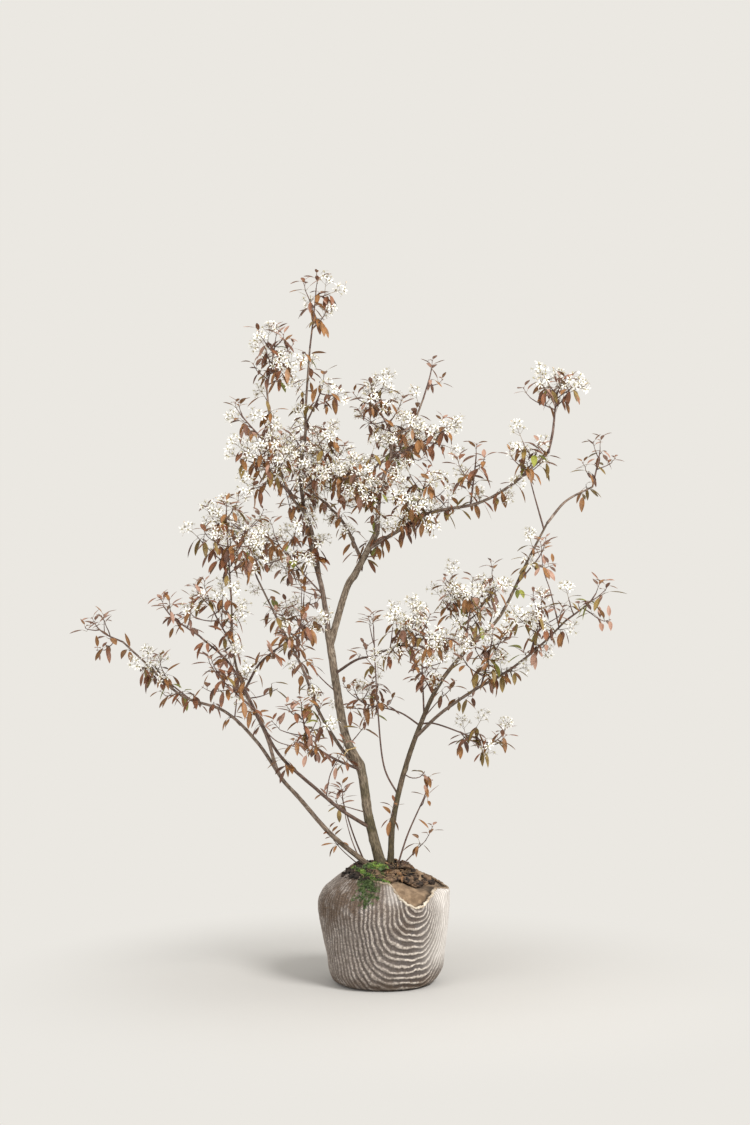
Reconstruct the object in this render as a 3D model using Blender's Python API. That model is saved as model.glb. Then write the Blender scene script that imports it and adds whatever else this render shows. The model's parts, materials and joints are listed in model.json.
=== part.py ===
"""A serviceberry in flower on its wrapped root ball: metres, +Z up, origin under the ball's middle.

Stems stand on the crown of the ball and boughs fork from the stems. Each mass of foliage grows
from one stem of its own, which meets its bough's tip or side, and keeps to its own space.
"""

import math
import random
from collections import namedtuple

import bpy
import bmesh
from mathutils import Vector
from mathutils.bvhtree import BVHTree

GAP = 0.0003                 # between two pieces that meet
GOLDEN_TURN = math.radians(137.5)
SEED = 41
UP = Vector((0, 0, 1))

# The root ball: its outline from floor to crown, as height and radius
BALL_OUTLINE = (
    (0.0, 0.135), (0.012, 0.156), (0.045, 0.172), (0.100, 0.179), (0.165, 0.190), (0.235, 0.199),
    (0.275, 0.188), (0.300, 0.164), (0.325, 0.134), (0.343, 0.105), (0.354, 0.080),
)
BALL_CROWN = BALL_OUTLINE[-1][0]
BALL_SIDES = 26
SLUMP_TURN, SLUMP_SPREAD = math.radians(-35), math.radians(46)   # where the soil has sunk
SLUMP_DEPTH, SLUMP_FROM, SLUMP_TO = 0.038, 0.282, 0.306
TEAR_TURN, TEAR_SPREAD = math.radians(-59), math.radians(17)     # where the cloth is torn open
TEAR_DEPTH, TEAR_HEIGHT, TEAR_TALL = 0.013, 0.278, 0.026
CORNER_TURN, CORNER_SPREAD = math.radians(-8), math.radians(20)  # where the cloth stands away
CORNER_OUT, CORNER_HEIGHT, CORNER_TALL = 0.012, 0.281, 0.016
LUMP = 0.003

# Stems and boughs
RING_STEP = 0.070            # between the rings of a limb
CURVE_STEPS = 10             # between two of its given points
FLARE, FLARE_HEIGHT = 0.28, 0.030
STRAIGHT_FOOT = 0.25         # of the way from a stem's foot to its first bend
TAPER = 0.85

# Twigs, leaves and blossom
MASS_STEM_SIDES, MASS_STEM_FOOT, MASS_STEM_TIP = 4, 0.0044, 0.0034
TWIG_SIDES, TWIG_FOOT, TWIG_TIP = 3, 0.0029, 0.0025
TWIG_REACH = (0.64, 0.80)    # shares of the way to the edge of the space
TWIG_ONWARD, TWIG_RISE, TWIG_CURL = 0.45, 0.25, 0.35
STEM_REACH, STEM_RISE = 0.55, 0.40     # past the middle of the space, as shares of its reach
STEM_BEND_FROM = 0.040       # a longer stem bends at the middle of its space
FIRST_TWIG_DEPTH, LAST_TWIG = 0.90, 0.94
SHORTEST_TWIG, LONGEST_TWIG, LONG_TWIG = 0.050, 0.170, 0.090
LEAF_LENGTH, LEAF_WIDTH, LEAF_THICK = 0.072, 0.028, 0.0022
LEAF_SIZES = (0.85, 1.10)
LEAF_SUNK = 0.0010           # past the twig's axis
LEAF_WIDEST, LEAF_FOLD = 0.42, 0.16
LEAF_PLACES = (0.008, 0.022, 0.062)    # along a twig, from its end
HANGING, STANDING = (-0.95, -0.10), (-0.30, 1.10)    # rise of a leaf over its run
BARE_SHARE = 0.35            # of a twig, from its foot
TRIES = 6
STAR_RADIUS, STAR_HEART, STAR_THICK, STAR_SUNK = 0.028, 0.40, 0.0034, 0.0011
PETALS = 5
CLEARANCE = 0.0020           # kept from every limb
SPACE_MARGIN = 0.05          # kept from the next mass's space, as a share of its reach

# A limb with no parent stands on the ball, at leaves_at as x and y. Any other starts on its parent's
# axis where that is leaves_at high, or else just past its tip. It also keeps clear of clear_of.
Limb = namedtuple("Limb", "name parent leaves_at bends tip foot end sides clear_of", defaults=[()])

LIMBS = (
    Limb("main_trunk", None, (-0.009, 0.0),
         [(-0.048, 0.0, 0.505), (-0.069, 0.01, 0.637), (-0.115, 0.02, 0.736), (-0.143, 0.03, 0.882)],
         (-0.170, 0.03, 1.064), 0.0155, 0.0115, 8),
    Limb("left_stem", None, (-0.040, -0.022),
         [(-0.163, -0.035, 0.454), (-0.252, -0.05, 0.559), (-0.315, -0.07, 0.637), (-0.352, -0.09, 0.755),
          (-0.413, -0.12, 0.885), (-0.444, -0.15, 0.997)],
         (-0.450, -0.175, 1.160), 0.0082, 0.0038, 6),
    Limb("right_stem", None, (0.019, 0.020),
         [(0.027, 0.03, 0.48), (0.059, 0.05, 0.621), (0.108, 0.07, 0.763), (0.173, 0.10, 0.899),
          (0.268, 0.14, 1.011), (0.363, 0.18, 1.103), (0.451, 0.23, 1.272)],
         (0.518, 0.27, 1.395), 0.0095, 0.0045, 7),
    Limb("leader", "main_trunk", None,
         [(-0.188, 0.03, 1.186), (-0.216, 0.05, 1.293), (-0.241, 0.06, 1.415), (-0.256, 0.05, 1.547),
          (-0.240, 0.03, 1.652), (-0.237, 0.02, 1.755)],
         (-0.225, 0.01, 1.920), 0.0085, 0.0038, 6),
    Limb("left_leader", "leader", 1.215,
         [(-0.209, 0.02, 1.323), (-0.237, 0.015, 1.414), (-0.282, 0.0, 1.472), (-0.322, -0.04, 1.576),
          (-0.341, -0.08, 1.696)],
         (-0.350, -0.10, 1.790), 0.0058, 0.0038, 6),
    Limb("right_fork", "main_trunk", 1.020,
         [(-0.115, 0.0, 1.187), (-0.081, -0.02, 1.247)],
         (-0.021, -0.05, 1.362), 0.0112, 0.0092, 7, ("leader",)),
    Limb("inner_left_bough", "right_fork", 1.275,
         [(-0.121, 0.02, 1.387), (-0.175, 0.10, 1.447)],
         (-0.225, 0.18, 1.490), 0.0058, 0.0038, 6),
    Limb("upper_bough", "right_fork", None,
         [(-0.012, -0.03, 1.489), (0.018, 0.0, 1.581), (0.030, 0.03, 1.650), (0.086, 0.06, 1.691)],
         (0.120, 0.08, 1.770), 0.0080, 0.0038, 6),
    Limb("long_right_bough", "right_fork", 1.312,
         [(0.036, -0.10, 1.361), (0.134, -0.20, 1.415), (0.271, -0.28, 1.442), (0.371, -0.33, 1.498)],
         (0.466, -0.36, 1.582), 0.0064, 0.0042, 6, ("upper_bough",)),
    Limb("right_top_bough", "long_right_bough", None,
         [(0.478, -0.37, 1.640)],
         (0.484, -0.37, 1.700), 0.0042, 0.0038, 6),
    Limb("right_stem_top", "right_stem", None,
         [(0.581, 0.30, 1.466)],
         (0.668, 0.33, 1.512), 0.0045, 0.0038, 6),
    Limb("bare_twig", "right_stem", 1.375,
         [(0.478, 0.24, 1.470)],
         (0.461, 0.23, 1.530), 0.0030, 0.0022, 5),
    Limb("right_low_bough", "right_stem", 0.735,
         [(0.173, 0.0, 0.814), (0.270, -0.06, 0.887), (0.368, -0.12, 0.948), (0.461, -0.18, 1.028)],
         (0.530, -0.215, 1.100), 0.0055, 0.0038, 6),
    Limb("inner_right_bough", "main_trunk", 0.930,
         [(-0.084, -0.03, 0.976)],
         (-0.030, -0.08, 0.990), 0.0045, 0.0038, 6),
    Limb("far_left_bough", "left_stem", 0.625,
         [(-0.384, -0.06, 0.735), (-0.482, -0.03, 0.822), (-0.615, 0.0, 0.868), (-0.735, 0.02, 0.974)],
         (-0.795, 0.03, 1.028), 0.0055, 0.0038, 6),
    Limb("left_long_bough", "main_trunk", 0.635,
         [(-0.131, 0.05, 0.703), (-0.203, 0.13, 0.813), (-0.252, 0.20, 0.933), (-0.328, 0.28, 1.072)],
         (-0.405, 0.345, 1.220), 0.0060, 0.0038, 6),
    Limb("left_forward_bough", "main_trunk", 0.465,
         [(-0.123, -0.06, 0.524), (-0.202, -0.13, 0.599), (-0.302, -0.20, 0.700), (-0.356, -0.24, 0.800),
          (-0.439, -0.30, 0.969)],
         (-0.530, -0.335, 1.060), 0.0060, 0.0038, 6),
    Limb("left_cross_bough", "left_stem", 0.890,
         [(-0.370, -0.18, 0.968)],
         (-0.325, -0.23, 1.010), 0.0042, 0.0038, 6),
    Limb("kink_bough", "main_trunk", 0.640,
         [(-0.146, -0.10, 0.684)],
         (-0.220, -0.21, 0.740), 0.0044, 0.0038, 6),
)

# A mass's stem leaves its limb like a bough, passes its bends and runs on past its centre. Its own
# space is an ellipsoid about that centre, and bloom is the share of its twigs that end in a flower.
Mass = namedtuple("Mass", "name parent leaves_at centre reach twigs bloom bends", defaults=[()])

MASSES = (
    Mass("top_spray", "leader", None, (-0.21, 0.01, 2.04), (0.115, 0.115, 0.125), 5, 0.75),
    Mass("left_leader_spray", "left_leader", None, (-0.34, -0.10, 1.89), (0.11, 0.12, 0.145), 4, 0.75),
    Mass("leader_front_spray", "leader", 1.69, (-0.18, -0.06, 1.77), (0.12, 0.115, 0.115), 3, 0.75),
    Mass("outer_left_spray", "left_leader", 1.60, (-0.41, -0.14, 1.69), (0.08, 0.09, 0.12), 2, 0.3),
    Mass("centre_left_spray", "left_leader", 1.47, (-0.35, -0.12, 1.56), (0.12, 0.13, 0.13), 4, 0.75),
    Mass("centre_right_spray", "leader", 1.49, (-0.17, 0.0, 1.59), (0.105, 0.12, 0.14), 4, 0.75),
    Mass("centre_back_spray", "inner_left_bough", None, (-0.26, 0.26, 1.59), (0.16, 0.15, 0.155), 5, 0.75),
    Mass("upper_tip_spray", "upper_bough", None, (0.14, 0.09, 1.85), (0.075, 0.075, 0.105), 2, 0.3),
    Mass("upper_left_spray", "upper_bough", 1.65, (-0.03, 0.05, 1.77), (0.115, 0.125, 0.145), 4, 0.75),
    Mass("upper_side_spray", "upper_bough", 1.585, (0.13, -0.06, 1.65), (0.115, 0.115, 0.11), 4, 0.75),
    Mass("upper_front_spray", "upper_bough", 1.44, (-0.06, -0.14, 1.53), (0.11, 0.125, 0.135), 4, 0.75),
    Mass("upper_back_spray", "upper_bough", 1.60, (0.05, 0.22, 1.62), (0.15, 0.15, 0.155), 4, 0.75),
    Mass("long_mid_spray", "long_right_bough", 1.372, (0.10, -0.20, 1.45), (0.13, 0.125, 0.13), 4, 0.75),
    Mass("long_shoot_spray", "long_right_bough", 1.436, (0.26, -0.31, 1.54), (0.10, 0.105, 0.12), 3, 0.3),
    Mass("long_end_spray", "long_right_bough", 1.505, (0.41, -0.39, 1.54), (0.11, 0.105, 0.10), 3, 0.75),
    Mass("right_top_spray", "right_top_bough", None, (0.49, -0.37, 1.78), (0.145, 0.13, 0.115), 4, 0.75),
    Mass("rightmost_spray", "right_stem_top", None, (0.70, 0.34, 1.59), (0.10, 0.105, 0.125), 4, 0.3),
    Mass("left_stem_spray", "left_stem", None, (-0.46, -0.20, 1.35), (0.14, 0.14, 0.155), 5, 0.75),
    Mass("left_long_spray", "left_long_bough", None, (-0.45, 0.39, 1.34), (0.16, 0.15, 0.155), 5, 0.75),
    Mass("left_stem_side_spray", "left_stem", 1.02, (-0.50, -0.22, 1.13), (0.115, 0.12, 0.13), 4, 0.75),
    Mass("left_centre_spray", "leader", 1.17, (-0.30, -0.03, 1.27), (0.125, 0.125, 0.14), 4, 0.75),
    Mass("left_forward_spray", "left_forward_bough", None,
         (-0.60, -0.37, 1.11), (0.12, 0.12, 0.10), 4, 0.75),
    Mass("left_forward_side_spray", "left_forward_bough", 0.84,
         (-0.46, -0.34, 0.93), (0.115, 0.11, 0.11), 3, 0.3),
    Mass("far_left_spray", "far_left_bough", None, (-0.85, 0.04, 1.07), (0.11, 0.115, 0.11), 4, 0.3),
    Mass("far_left_mid_spray", "far_left_bough", 0.855, (-0.67, 0.02, 0.92), (0.135, 0.12, 0.115), 4, 0.75),
    Mass("left_cross_spray", "left_cross_bough", None, (-0.27, -0.28, 1.05), (0.125, 0.125, 0.12), 4, 0.75),
    Mass("left_long_side_spray", "left_long_bough", 0.98, (-0.26, 0.30, 1.10), (0.13, 0.13, 0.14), 4, 0.75),
    Mass("kink_spray", "kink_bough", None, (-0.26, -0.29, 0.79), (0.125, 0.125, 0.12), 4, 0.3),
    Mass("inner_right_spray", "inner_right_bough", None, (0.04, -0.16, 1.06), (0.175, 0.14, 0.135), 5, 1.0),
    Mass("right_mid_spray", "right_stem", 0.99, (0.26, 0.04, 1.15), (0.155, 0.14, 0.15), 5, 1.0),
    Mass("right_inner_spray", "right_stem", 0.80, (0.12, 0.19, 0.94), (0.11, 0.125, 0.13), 3, 0.3),
    Mass("right_low_mid_spray", "right_low_bough", 0.90,
         (0.31, -0.14, 0.99), (0.125, 0.12, 0.115), 4, 0.75),
    Mass("right_low_far_spray", "right_low_bough", 1.00,
         (0.45, -0.22, 1.11), (0.105, 0.115, 0.125), 4, 0.75),
    Mass("right_low_spray", "right_low_bough", None, (0.59, -0.26, 1.15), (0.10, 0.115, 0.15), 4, 0.75),
    Mass("right_upper_spray", "right_stem", 1.20, (0.48, 0.18, 1.28), (0.09, 0.10, 0.11), 2, 0.75),
    Mass("right_droop_spray", "right_stem", 0.775, (0.29, 0.03, 0.745), (0.16, 0.11, 0.095), 4, 0.75,
         [(0.165, 0.055, 0.775)]),
    Mass("right_back_spray", "right_stem", 0.77, (-0.06, 0.32, 0.82), (0.12, 0.125, 0.105), 4, 0.3,
         [(0.045, 0.17, 0.805)]),
    Mass("back_shoot_spray", "right_stem", 0.56, (-0.03, 0.23, 1.02), (0.10, 0.11, 0.12), 3, 0.3,
         [(0.0, 0.10, 0.644), (-0.018, 0.15, 0.807)]),
    Mass("left_base_spray", "crown", (-0.055, 0.020), (-0.12, 0.06, 0.52), (0.09, 0.085, 0.10), 2, 0.3,
         [(-0.09, 0.045, 0.43)]),
    Mass("right_base_spray", "crown", (0.040, -0.010), (0.12, -0.03, 0.56), (0.09, 0.09, 0.105), 2, 0.3,
         [(0.072, -0.02, 0.45)]),
)

BARK, TWIG, LEAF, PETAL, CLOTH = "bark", "twig", "copper leaf", "petal", "knitted wrap"
FINISHES = {                 # colour and roughness
    BARK: ((0.17, 0.13, 0.10), 0.85),
    TWIG: ((0.16, 0.09, 0.07), 0.75),
    LEAF: ((0.33, 0.12, 0.07), 0.55),
    PETAL: ((0.90, 0.89, 0.85), 0.60),
    CLOTH: ((0.52, 0.45, 0.37), 0.95),
}
FOLIAGE = (TWIG, LEAF, PETAL)

Solid = namedtuple("Solid", "points faces finish")


def bell(value, middle, spread):
    return math.exp(-((value - middle) / spread) ** 2)


def ramp(value, low, high):
    share = min(1.0, max(0.0, (value - low) / (high - low)))
    return share * share * (3 - 2 * share)


def ball_radius(turn, height, radius):
    """The wrapped ball is round, with lumps, a slumped shoulder, a tear and a corner of cloth."""
    inside = min(height, BALL_CROWN - height) / BALL_CROWN
    lumps = LUMP * math.sin(3 * turn + 1.0) + LUMP * math.sin(5 * turn + 22 * height)
    slump = SLUMP_DEPTH * bell(turn, SLUMP_TURN, SLUMP_SPREAD) * ramp(height, SLUMP_FROM, SLUMP_TO)
    tear = TEAR_DEPTH * bell(turn, TEAR_TURN, TEAR_SPREAD) * bell(height, TEAR_HEIGHT, TEAR_TALL)
    corner = CORNER_OUT * bell(turn, CORNER_TURN, CORNER_SPREAD) * bell(height, CORNER_HEIGHT, CORNER_TALL)
    return radius + lumps * min(1.0, 8 * inside) - slump - tear + corner


def smooth_curve(points):
    """A Catmull-Rom curve through the points, as closely spaced points."""
    padded = [2 * points[0] - points[1], *points, 2 * points[-1] - points[-2]]
    curve = []
    for before, here, there, after in zip(padded, padded[1:], padded[2:], padded[3:]):
        for step in range(CURVE_STEPS):
            t = step / CURVE_STEPS
            curve.append(0.5 * (2 * here + (there - before) * t
                                + (2 * before - 5 * here + 4 * there - after) * t * t
                                + (3 * here - before - 3 * there + after) * t * t * t))
    curve.append(points[-1].copy())
    return curve


def evenly(curve, step):
    """The same curve as points about one step apart."""
    lengths = [0.0]
    for here, there in zip(curve, curve[1:]):
        lengths.append(lengths[-1] + (there - here).length)
    count = max(1, round(lengths[-1] / step))
    points, place = [], 0
    for number in range(count + 1):
        wanted = lengths[-1] * number / count
        while place < len(curve) - 2 and lengths[place + 1] < wanted:
            place += 1
        stretch = lengths[place + 1] - lengths[place]
        points.append(curve[place].lerp(curve[place + 1], (wanted - lengths[place]) / stretch))
    return points


def headings(points):
    """The direction of a path at each of its points."""
    steps = [(there - here).normalized() for here, there in zip(points, points[1:])]
    middle = [(here + there).normalized() for here, there in zip(steps, steps[1:])]
    return [steps[0], *middle, steps[-1]]


def along(points, share):
    """The place and heading at a share of a path."""
    place = min(int(share * (len(points) - 1)), len(points) - 2)
    part = share * (len(points) - 1) - place
    return points[place].lerp(points[place + 1], part), (points[place + 1] - points[place]).normalized()


def at_height(points, height):
    """The point where a rising path reaches a height."""
    for here, there in zip(points, points[1:]):
        if here.z <= height <= there.z:
            return here.lerp(there, (height - here.z) / (there.z - here.z))
    raise ValueError(f"the path doesn't reach {height}")


def tube(points, radii, sides, finish, foot_faces=None):
    """A closed faceted tube. Its foot is cut square to foot_faces, to lie flat on what it meets."""
    directions = headings(points)
    across = directions[0].orthogonal().normalized()
    corners = []
    for number, (point, direction, radius) in enumerate(zip(points, directions, radii)):
        across = (across - direction * across.dot(direction)).normalized()
        other = direction.cross(across)
        for side in range(sides):
            turn = math.tau * side / sides
            corner = point + (across * math.cos(turn) + other * math.sin(turn)) * radius
            if foot_faces and number == 0:
                corner += direction * (point - corner).dot(foot_faces) / direction.dot(foot_faces)
            corners.append(corner)
    faces = [tuple(reversed(range(sides))), tuple(range(len(corners) - sides, len(corners)))]
    for ring in range(len(points) - 1):
        for side in range(sides):
            here, there = ring * sides + side, ring * sides + (side + 1) % sides
            faces.append((here, there, there + sides, here + sides))
    return Solid(corners, faces, finish)


def leaf(root, direction, upward, size):
    """A folded blade of eight faces, its root sunk through the twig."""
    side = direction.cross(upward).normalized()
    crest = side.cross(direction)
    start = root - direction * LEAF_SUNK
    length = LEAF_LENGTH * size
    middle = start + direction * length * LEAF_WIDEST
    half = LEAF_WIDTH * size / 2
    fold = crest * half * 2 * LEAF_FOLD
    corners = [start, start + direction * length,
               middle + side * half + fold, middle - side * half + fold,
               middle + crest * LEAF_THICK / 2, middle - crest * LEAF_THICK / 2]
    faces = [(0, 3, 4), (3, 1, 4), (1, 2, 4), (2, 0, 4), (3, 0, 5), (1, 3, 5), (2, 1, 5), (0, 2, 5)]
    return Solid(corners, [tuple(reversed(face)) for face in faces], LEAF)


def star(heart, facing, spin):
    """One open flower of five pointed petals, flat behind and domed in front."""
    across = facing.orthogonal().normalized()
    other = facing.cross(across)
    corners = [heart + facing * STAR_THICK]
    for number in range(2 * PETALS):
        reach = STAR_RADIUS * (STAR_HEART if number % 2 else 1.0)
        turn = spin + math.pi * number / PETALS
        corners.append(heart + (across * math.cos(turn) + other * math.sin(turn)) * reach)
    outline = range(1, 2 * PETALS + 1)
    faces = [(0, here, here % (2 * PETALS) + 1) for here in outline]
    faces.append(tuple(reversed(outline)))
    return Solid(corners, faces, PETAL)


def material(finish):
    """The named Principled material, made once."""
    if finish in bpy.data.materials:
        return bpy.data.materials[finish]
    colour, roughness = FINISHES[finish]
    made = bpy.data.materials.new(finish)
    made.use_nodes = True
    shader = made.node_tree.nodes["Principled BSDF"]
    shader.inputs["Base Color"].default_value = (*colour, 1)
    shader.inputs["Roughness"].default_value = roughness
    shader.inputs["Metallic"].default_value = 0.0
    made.diffuse_color = (*colour, 1)
    return made


def place(name, solid, finishes, origin, collection=None):
    """One object for the solid, with its origin at the given point."""
    mesh = bpy.data.meshes.new(name)
    mesh.from_pydata([point - origin for point in solid.points], [], solid.faces)
    for finish in finishes:
        mesh.materials.append(material(finish))
    mesh.polygons.foreach_set("material_index", [finishes.index(solid.finish)] * len(mesh.polygons))
    made = bpy.data.objects.new(name, mesh)
    made.location = origin
    (collection or bpy.context.scene.collection).objects.link(made)
    return made


def cut_clear(piece, name):
    """Cut a piece back from the limb of that name, with the gap between them."""
    cut = piece.modifiers.new(f"clear of {name}", "BOOLEAN")
    cut.operation = "DIFFERENCE"
    cut.object = cutters[name]


def fatter(name, extra):
    """The limb's tube with a larger radius, carried as far past its tip."""
    points, radii, sides = paths[name]
    longer = [*points[:-1], points[-1] + headings(points)[-1] * extra]
    return tube(longer, [radius + extra for radius in radii], sides, BARK)


def add_cutter(name):
    """The hidden shape that keeps the neighbours of a limb off it."""
    cutter = place(f"cutter_{name}", fatter(name, GAP), (BARK,), Vector((0, 0, 0)))
    cutter.hide_render = True
    cutter.display_type = "WIRE"
    cutters[name] = cutter


def beginning(parent, leaves_at):
    """Where a limb or a mass's stem begins, and the way its foot faces where it meets a flat end.

    It stands on the ball, starts just past its parent's tip, or starts inside its parent's side.
    """
    if leaves_at is None:
        points = paths[parent][0]
        heading = headings(points)[-1]
        return points[-1] + heading * GAP, heading
    if parent in paths:
        return at_height(paths[parent][0], leaves_at), None
    return Vector((*leaves_at, BALL_CROWN + GAP)), UP


def tapered(count, foot, end, flared=False):
    """The radius at each ring, widened just above the ball on a stem that stands on it."""
    radii = []
    for number in range(count):
        share = number / (count - 1)
        radius = foot + (end - foot) * share ** TAPER
        if flared:
            radius *= 1 + FLARE * math.exp(-number * RING_STEP / FLARE_HEIGHT)
        radii.append(radius)
    return radii


def add_root_ball():
    corners, faces = [], []
    for height, radius in BALL_OUTLINE:
        for side in range(BALL_SIDES):
            turn = math.tau * side / BALL_SIDES - math.pi
            reach = ball_radius(turn, height, radius)
            corners.append(Vector((reach * math.cos(turn), reach * math.sin(turn), height)))
    for ring in range(len(BALL_OUTLINE) - 1):
        for side in range(BALL_SIDES):
            here, there = ring * BALL_SIDES + side, ring * BALL_SIDES + (side + 1) % BALL_SIDES
            faces.append((here, there, there + BALL_SIDES, here + BALL_SIDES))
    faces.append(tuple(reversed(range(BALL_SIDES))))
    faces.append(tuple(range(len(corners) - BALL_SIDES, len(corners))))
    ball = place("root_ball", Solid(corners, faces, CLOTH), (CLOTH,), Vector((0, 0, 0)))
    ball.data.shade_smooth()
    ball.data.set_sharp_from_angle(angle=math.radians(50))


def add_limb(limb):
    standing = limb.parent is None
    start, foot_faces = beginning(limb.parent, limb.leaves_at)
    given = [start, *(Vector(bend) for bend in limb.bends), Vector(limb.tip)]
    if standing:
        given.insert(1, start.lerp(given[1], STRAIGHT_FOOT))
    points = evenly(smooth_curve(given), RING_STEP)
    radii = tapered(len(points), limb.foot, limb.end, standing)
    paths[limb.name] = (points, radii, limb.sides)
    solid = tube(points, radii, limb.sides, BARK, foot_faces)
    piece = place(limb.name, solid, (BARK,), start)
    piece.data.shade_smooth()
    piece.data.set_sharp_from_angle(angle=math.radians(60))
    if limb.leaves_at is not None and not standing:
        cut_clear(piece, limb.parent)
    for other in limb.clear_of:
        cut_clear(piece, other)
    add_cutter(limb.name)


def depth_in(point, mass):
    """0 at the middle of a mass's space and 1 at its edge."""
    return Vector([(point[axis] - mass.centre[axis]) / mass.reach[axis] for axis in range(3)]).length


def owned(point, mass):
    """Whether a point lies in the mass's own space, clear of its neighbours' spaces."""
    own = depth_in(point, mass)
    others = min(depth_in(point, other) for other in MASSES if other is not mass)
    return own <= 1 and own + SPACE_MARGIN < others


def fits(solid, mass, near=()):
    """A piece is kept only if it stays in its space and touches no limb, other stem or near piece."""
    if not all(owned(point, mass) for point in solid.points):
        return False
    tree = BVHTree.FromPolygons(solid.points, solid.faces)
    others = [other for name, other in keep_off.items() if name != mass.name]
    return not any(tree.overlap(other) for other in [*others, *near])


def way_out(start, direction, mass):
    """How far it is from a point to the edge of the mass's space."""
    low, high = 0.0, 2 * max(mass.reach)
    for _ in range(12):
        middle = (low + high) / 2
        if depth_in(start + direction * middle, mass) < 1:
            low = middle
        else:
            high = middle
    return low


def twig_from(base, heading, turn, mass, draw):
    """A side twig that leaves its stem at an angle and turns up towards the light."""
    side = heading.orthogonal().normalized()
    other = heading.cross(side)
    outward = side * math.cos(turn) + other * math.sin(turn)
    direction = (heading * TWIG_ONWARD + outward + UP * TWIG_RISE).normalized()
    length = way_out(base, direction, mass) * draw.uniform(*TWIG_REACH)
    length = min(LONGEST_TWIG, max(SHORTEST_TWIG, length))
    if length < LONG_TWIG:
        return [base, base + direction * length]
    middle = base + direction * length / 2
    return [base, middle, middle + (direction + UP * TWIG_CURL).normalized() * length / 2]


class Growth:
    """The solids of one mass, each touching only the piece that carries it."""

    def __init__(self, mass, draw):
        self.mass, self.draw = mass, draw
        self.solids, self.trees = [], []

    def add(self, solid, carrier=None, must=False):
        """Keep a solid if it fits, and say where it is in the list."""
        near = [tree for number, tree in enumerate(self.trees) if number != carrier]
        if not must and not fits(solid, self.mass, near):
            return None
        self.solids.append(solid)
        self.trees.append(BVHTree.FromPolygons(solid.points, solid.faces))
        return len(self.solids) - 1

    def add_leaf(self, root, carrier, lift):
        """A leaf at a lift between two slopes, turned until it fits."""
        for _ in range(TRIES):
            turn = self.draw.uniform(0, math.tau)
            direction = Vector((math.cos(turn), math.sin(turn), self.draw.uniform(*lift))).normalized()
            if self.add(leaf(root, direction, UP, self.draw.uniform(*LEAF_SIZES)), carrier) is not None:
                return

    def dress(self, points, carrier, flowering):
        """A flower ends a twig and leaves hang below it, or the young leaves of a bare end stand up."""
        tip, heading = points[-1], headings(points)[-1]
        if flowering:
            heart = tip - heading * STAR_SUNK
            self.add(star(heart, heading, self.draw.uniform(0, math.tau)), carrier)
        length = sum((there - here).length for here, there in zip(points, points[1:]))
        for below in LEAF_PLACES:
            if below < length * (1 - BARE_SHARE):
                root = along(points, 1 - below / length)[0]
                self.add_leaf(root, carrier, HANGING if flowering or below > LEAF_PLACES[1] else STANDING)


def grow(mass, draw):
    """The stem, its twigs and all that they carry, as solids that reach into one another."""
    growth = Growth(mass, draw)
    stem, radii, sides = paths[mass.name]
    foot_faces = beginning(mass.parent, mass.leaves_at)[1]
    trunk = growth.add(tube(stem, radii, sides, TWIG, foot_faces), must=True)
    entering = next((number / (len(stem) - 1) for number, point in enumerate(stem)
                     if depth_in(point, mass) < FIRST_TWIG_DEPTH), 0.5)
    twigs = [(stem[-2:], trunk)]
    turn = draw.uniform(0, math.tau)
    for number in range(mass.twigs):
        turn += GOLDEN_TURN
        share = entering + (LAST_TWIG - entering) * (number + 0.5) / mass.twigs
        base, heading = along(stem, share)
        points = twig_from(base, heading, turn, mass, draw)
        radii = [TWIG_FOOT, TWIG_TIP] if len(points) == 2 else [TWIG_FOOT, TWIG_FOOT, TWIG_TIP]
        carrier = growth.add(tube(points, radii, TWIG_SIDES, TWIG), trunk)
        if carrier is not None:
            twigs.append((points, carrier))
    for number, (points, carrier) in enumerate(twigs):
        flowering = int(mass.bloom * (number + 1)) - int(mass.bloom * number)
        growth.dress(points, carrier, flowering)
    return growth.solids


def keep_largest_body(piece):
    """Drop a scrap that came loose where the pieces were joined."""
    bm = bmesh.new()
    bm.from_mesh(piece.data)
    waiting, bodies = set(bm.verts), []
    while waiting:
        body, edge = set(), [waiting.pop()]
        while edge:
            vert = edge.pop()
            body.add(vert)
            near = {link.other_vert(vert) for link in vert.link_edges} & waiting
            waiting -= near
            edge.extend(near)
        bodies.append(body)
    largest = max(bodies, key=len)
    loose = [vert for body in bodies if body is not largest for vert in body]
    bmesh.ops.delete(bm, geom=loose, context="VERTS")
    bm.to_mesh(piece.data)
    bm.free()


def stem_of(mass):
    """The path of the stem that carries a mass, from its limb to well past the middle of its space."""
    given = [beginning(mass.parent, mass.leaves_at)[0], *(Vector(bend) for bend in mass.bends)]
    centre = Vector(mass.centre)
    onward = (centre - given[-1]).normalized()
    tip = centre + (onward + UP * STEM_RISE).normalized() * min(mass.reach) * STEM_REACH
    if (centre - given[-1]).length > STEM_BEND_FROM:
        given.append(centre)
    return evenly(smooth_curve([*given, tip]), RING_STEP)


def join_pieces(pieces, joined, helpers):
    """Set up one union of the first piece with all the others."""
    for piece in pieces[1:]:
        place("piece", piece, FOLIAGE, joined.location, helpers)
    union = joined.modifiers.new("join", "BOOLEAN")
    union.operation = "UNION"
    union.operand_type = "COLLECTION"
    union.collection = helpers


def apply_modifiers(piece):
    """Keep the shape that the modifiers make, without them."""
    bpy.context.view_layer.update()
    evaluated = piece.evaluated_get(bpy.context.evaluated_depsgraph_get())
    mesh = bpy.data.meshes.new_from_object(evaluated)
    mesh.name = piece.name
    piece.modifiers.clear()
    piece.data = mesh


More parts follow.
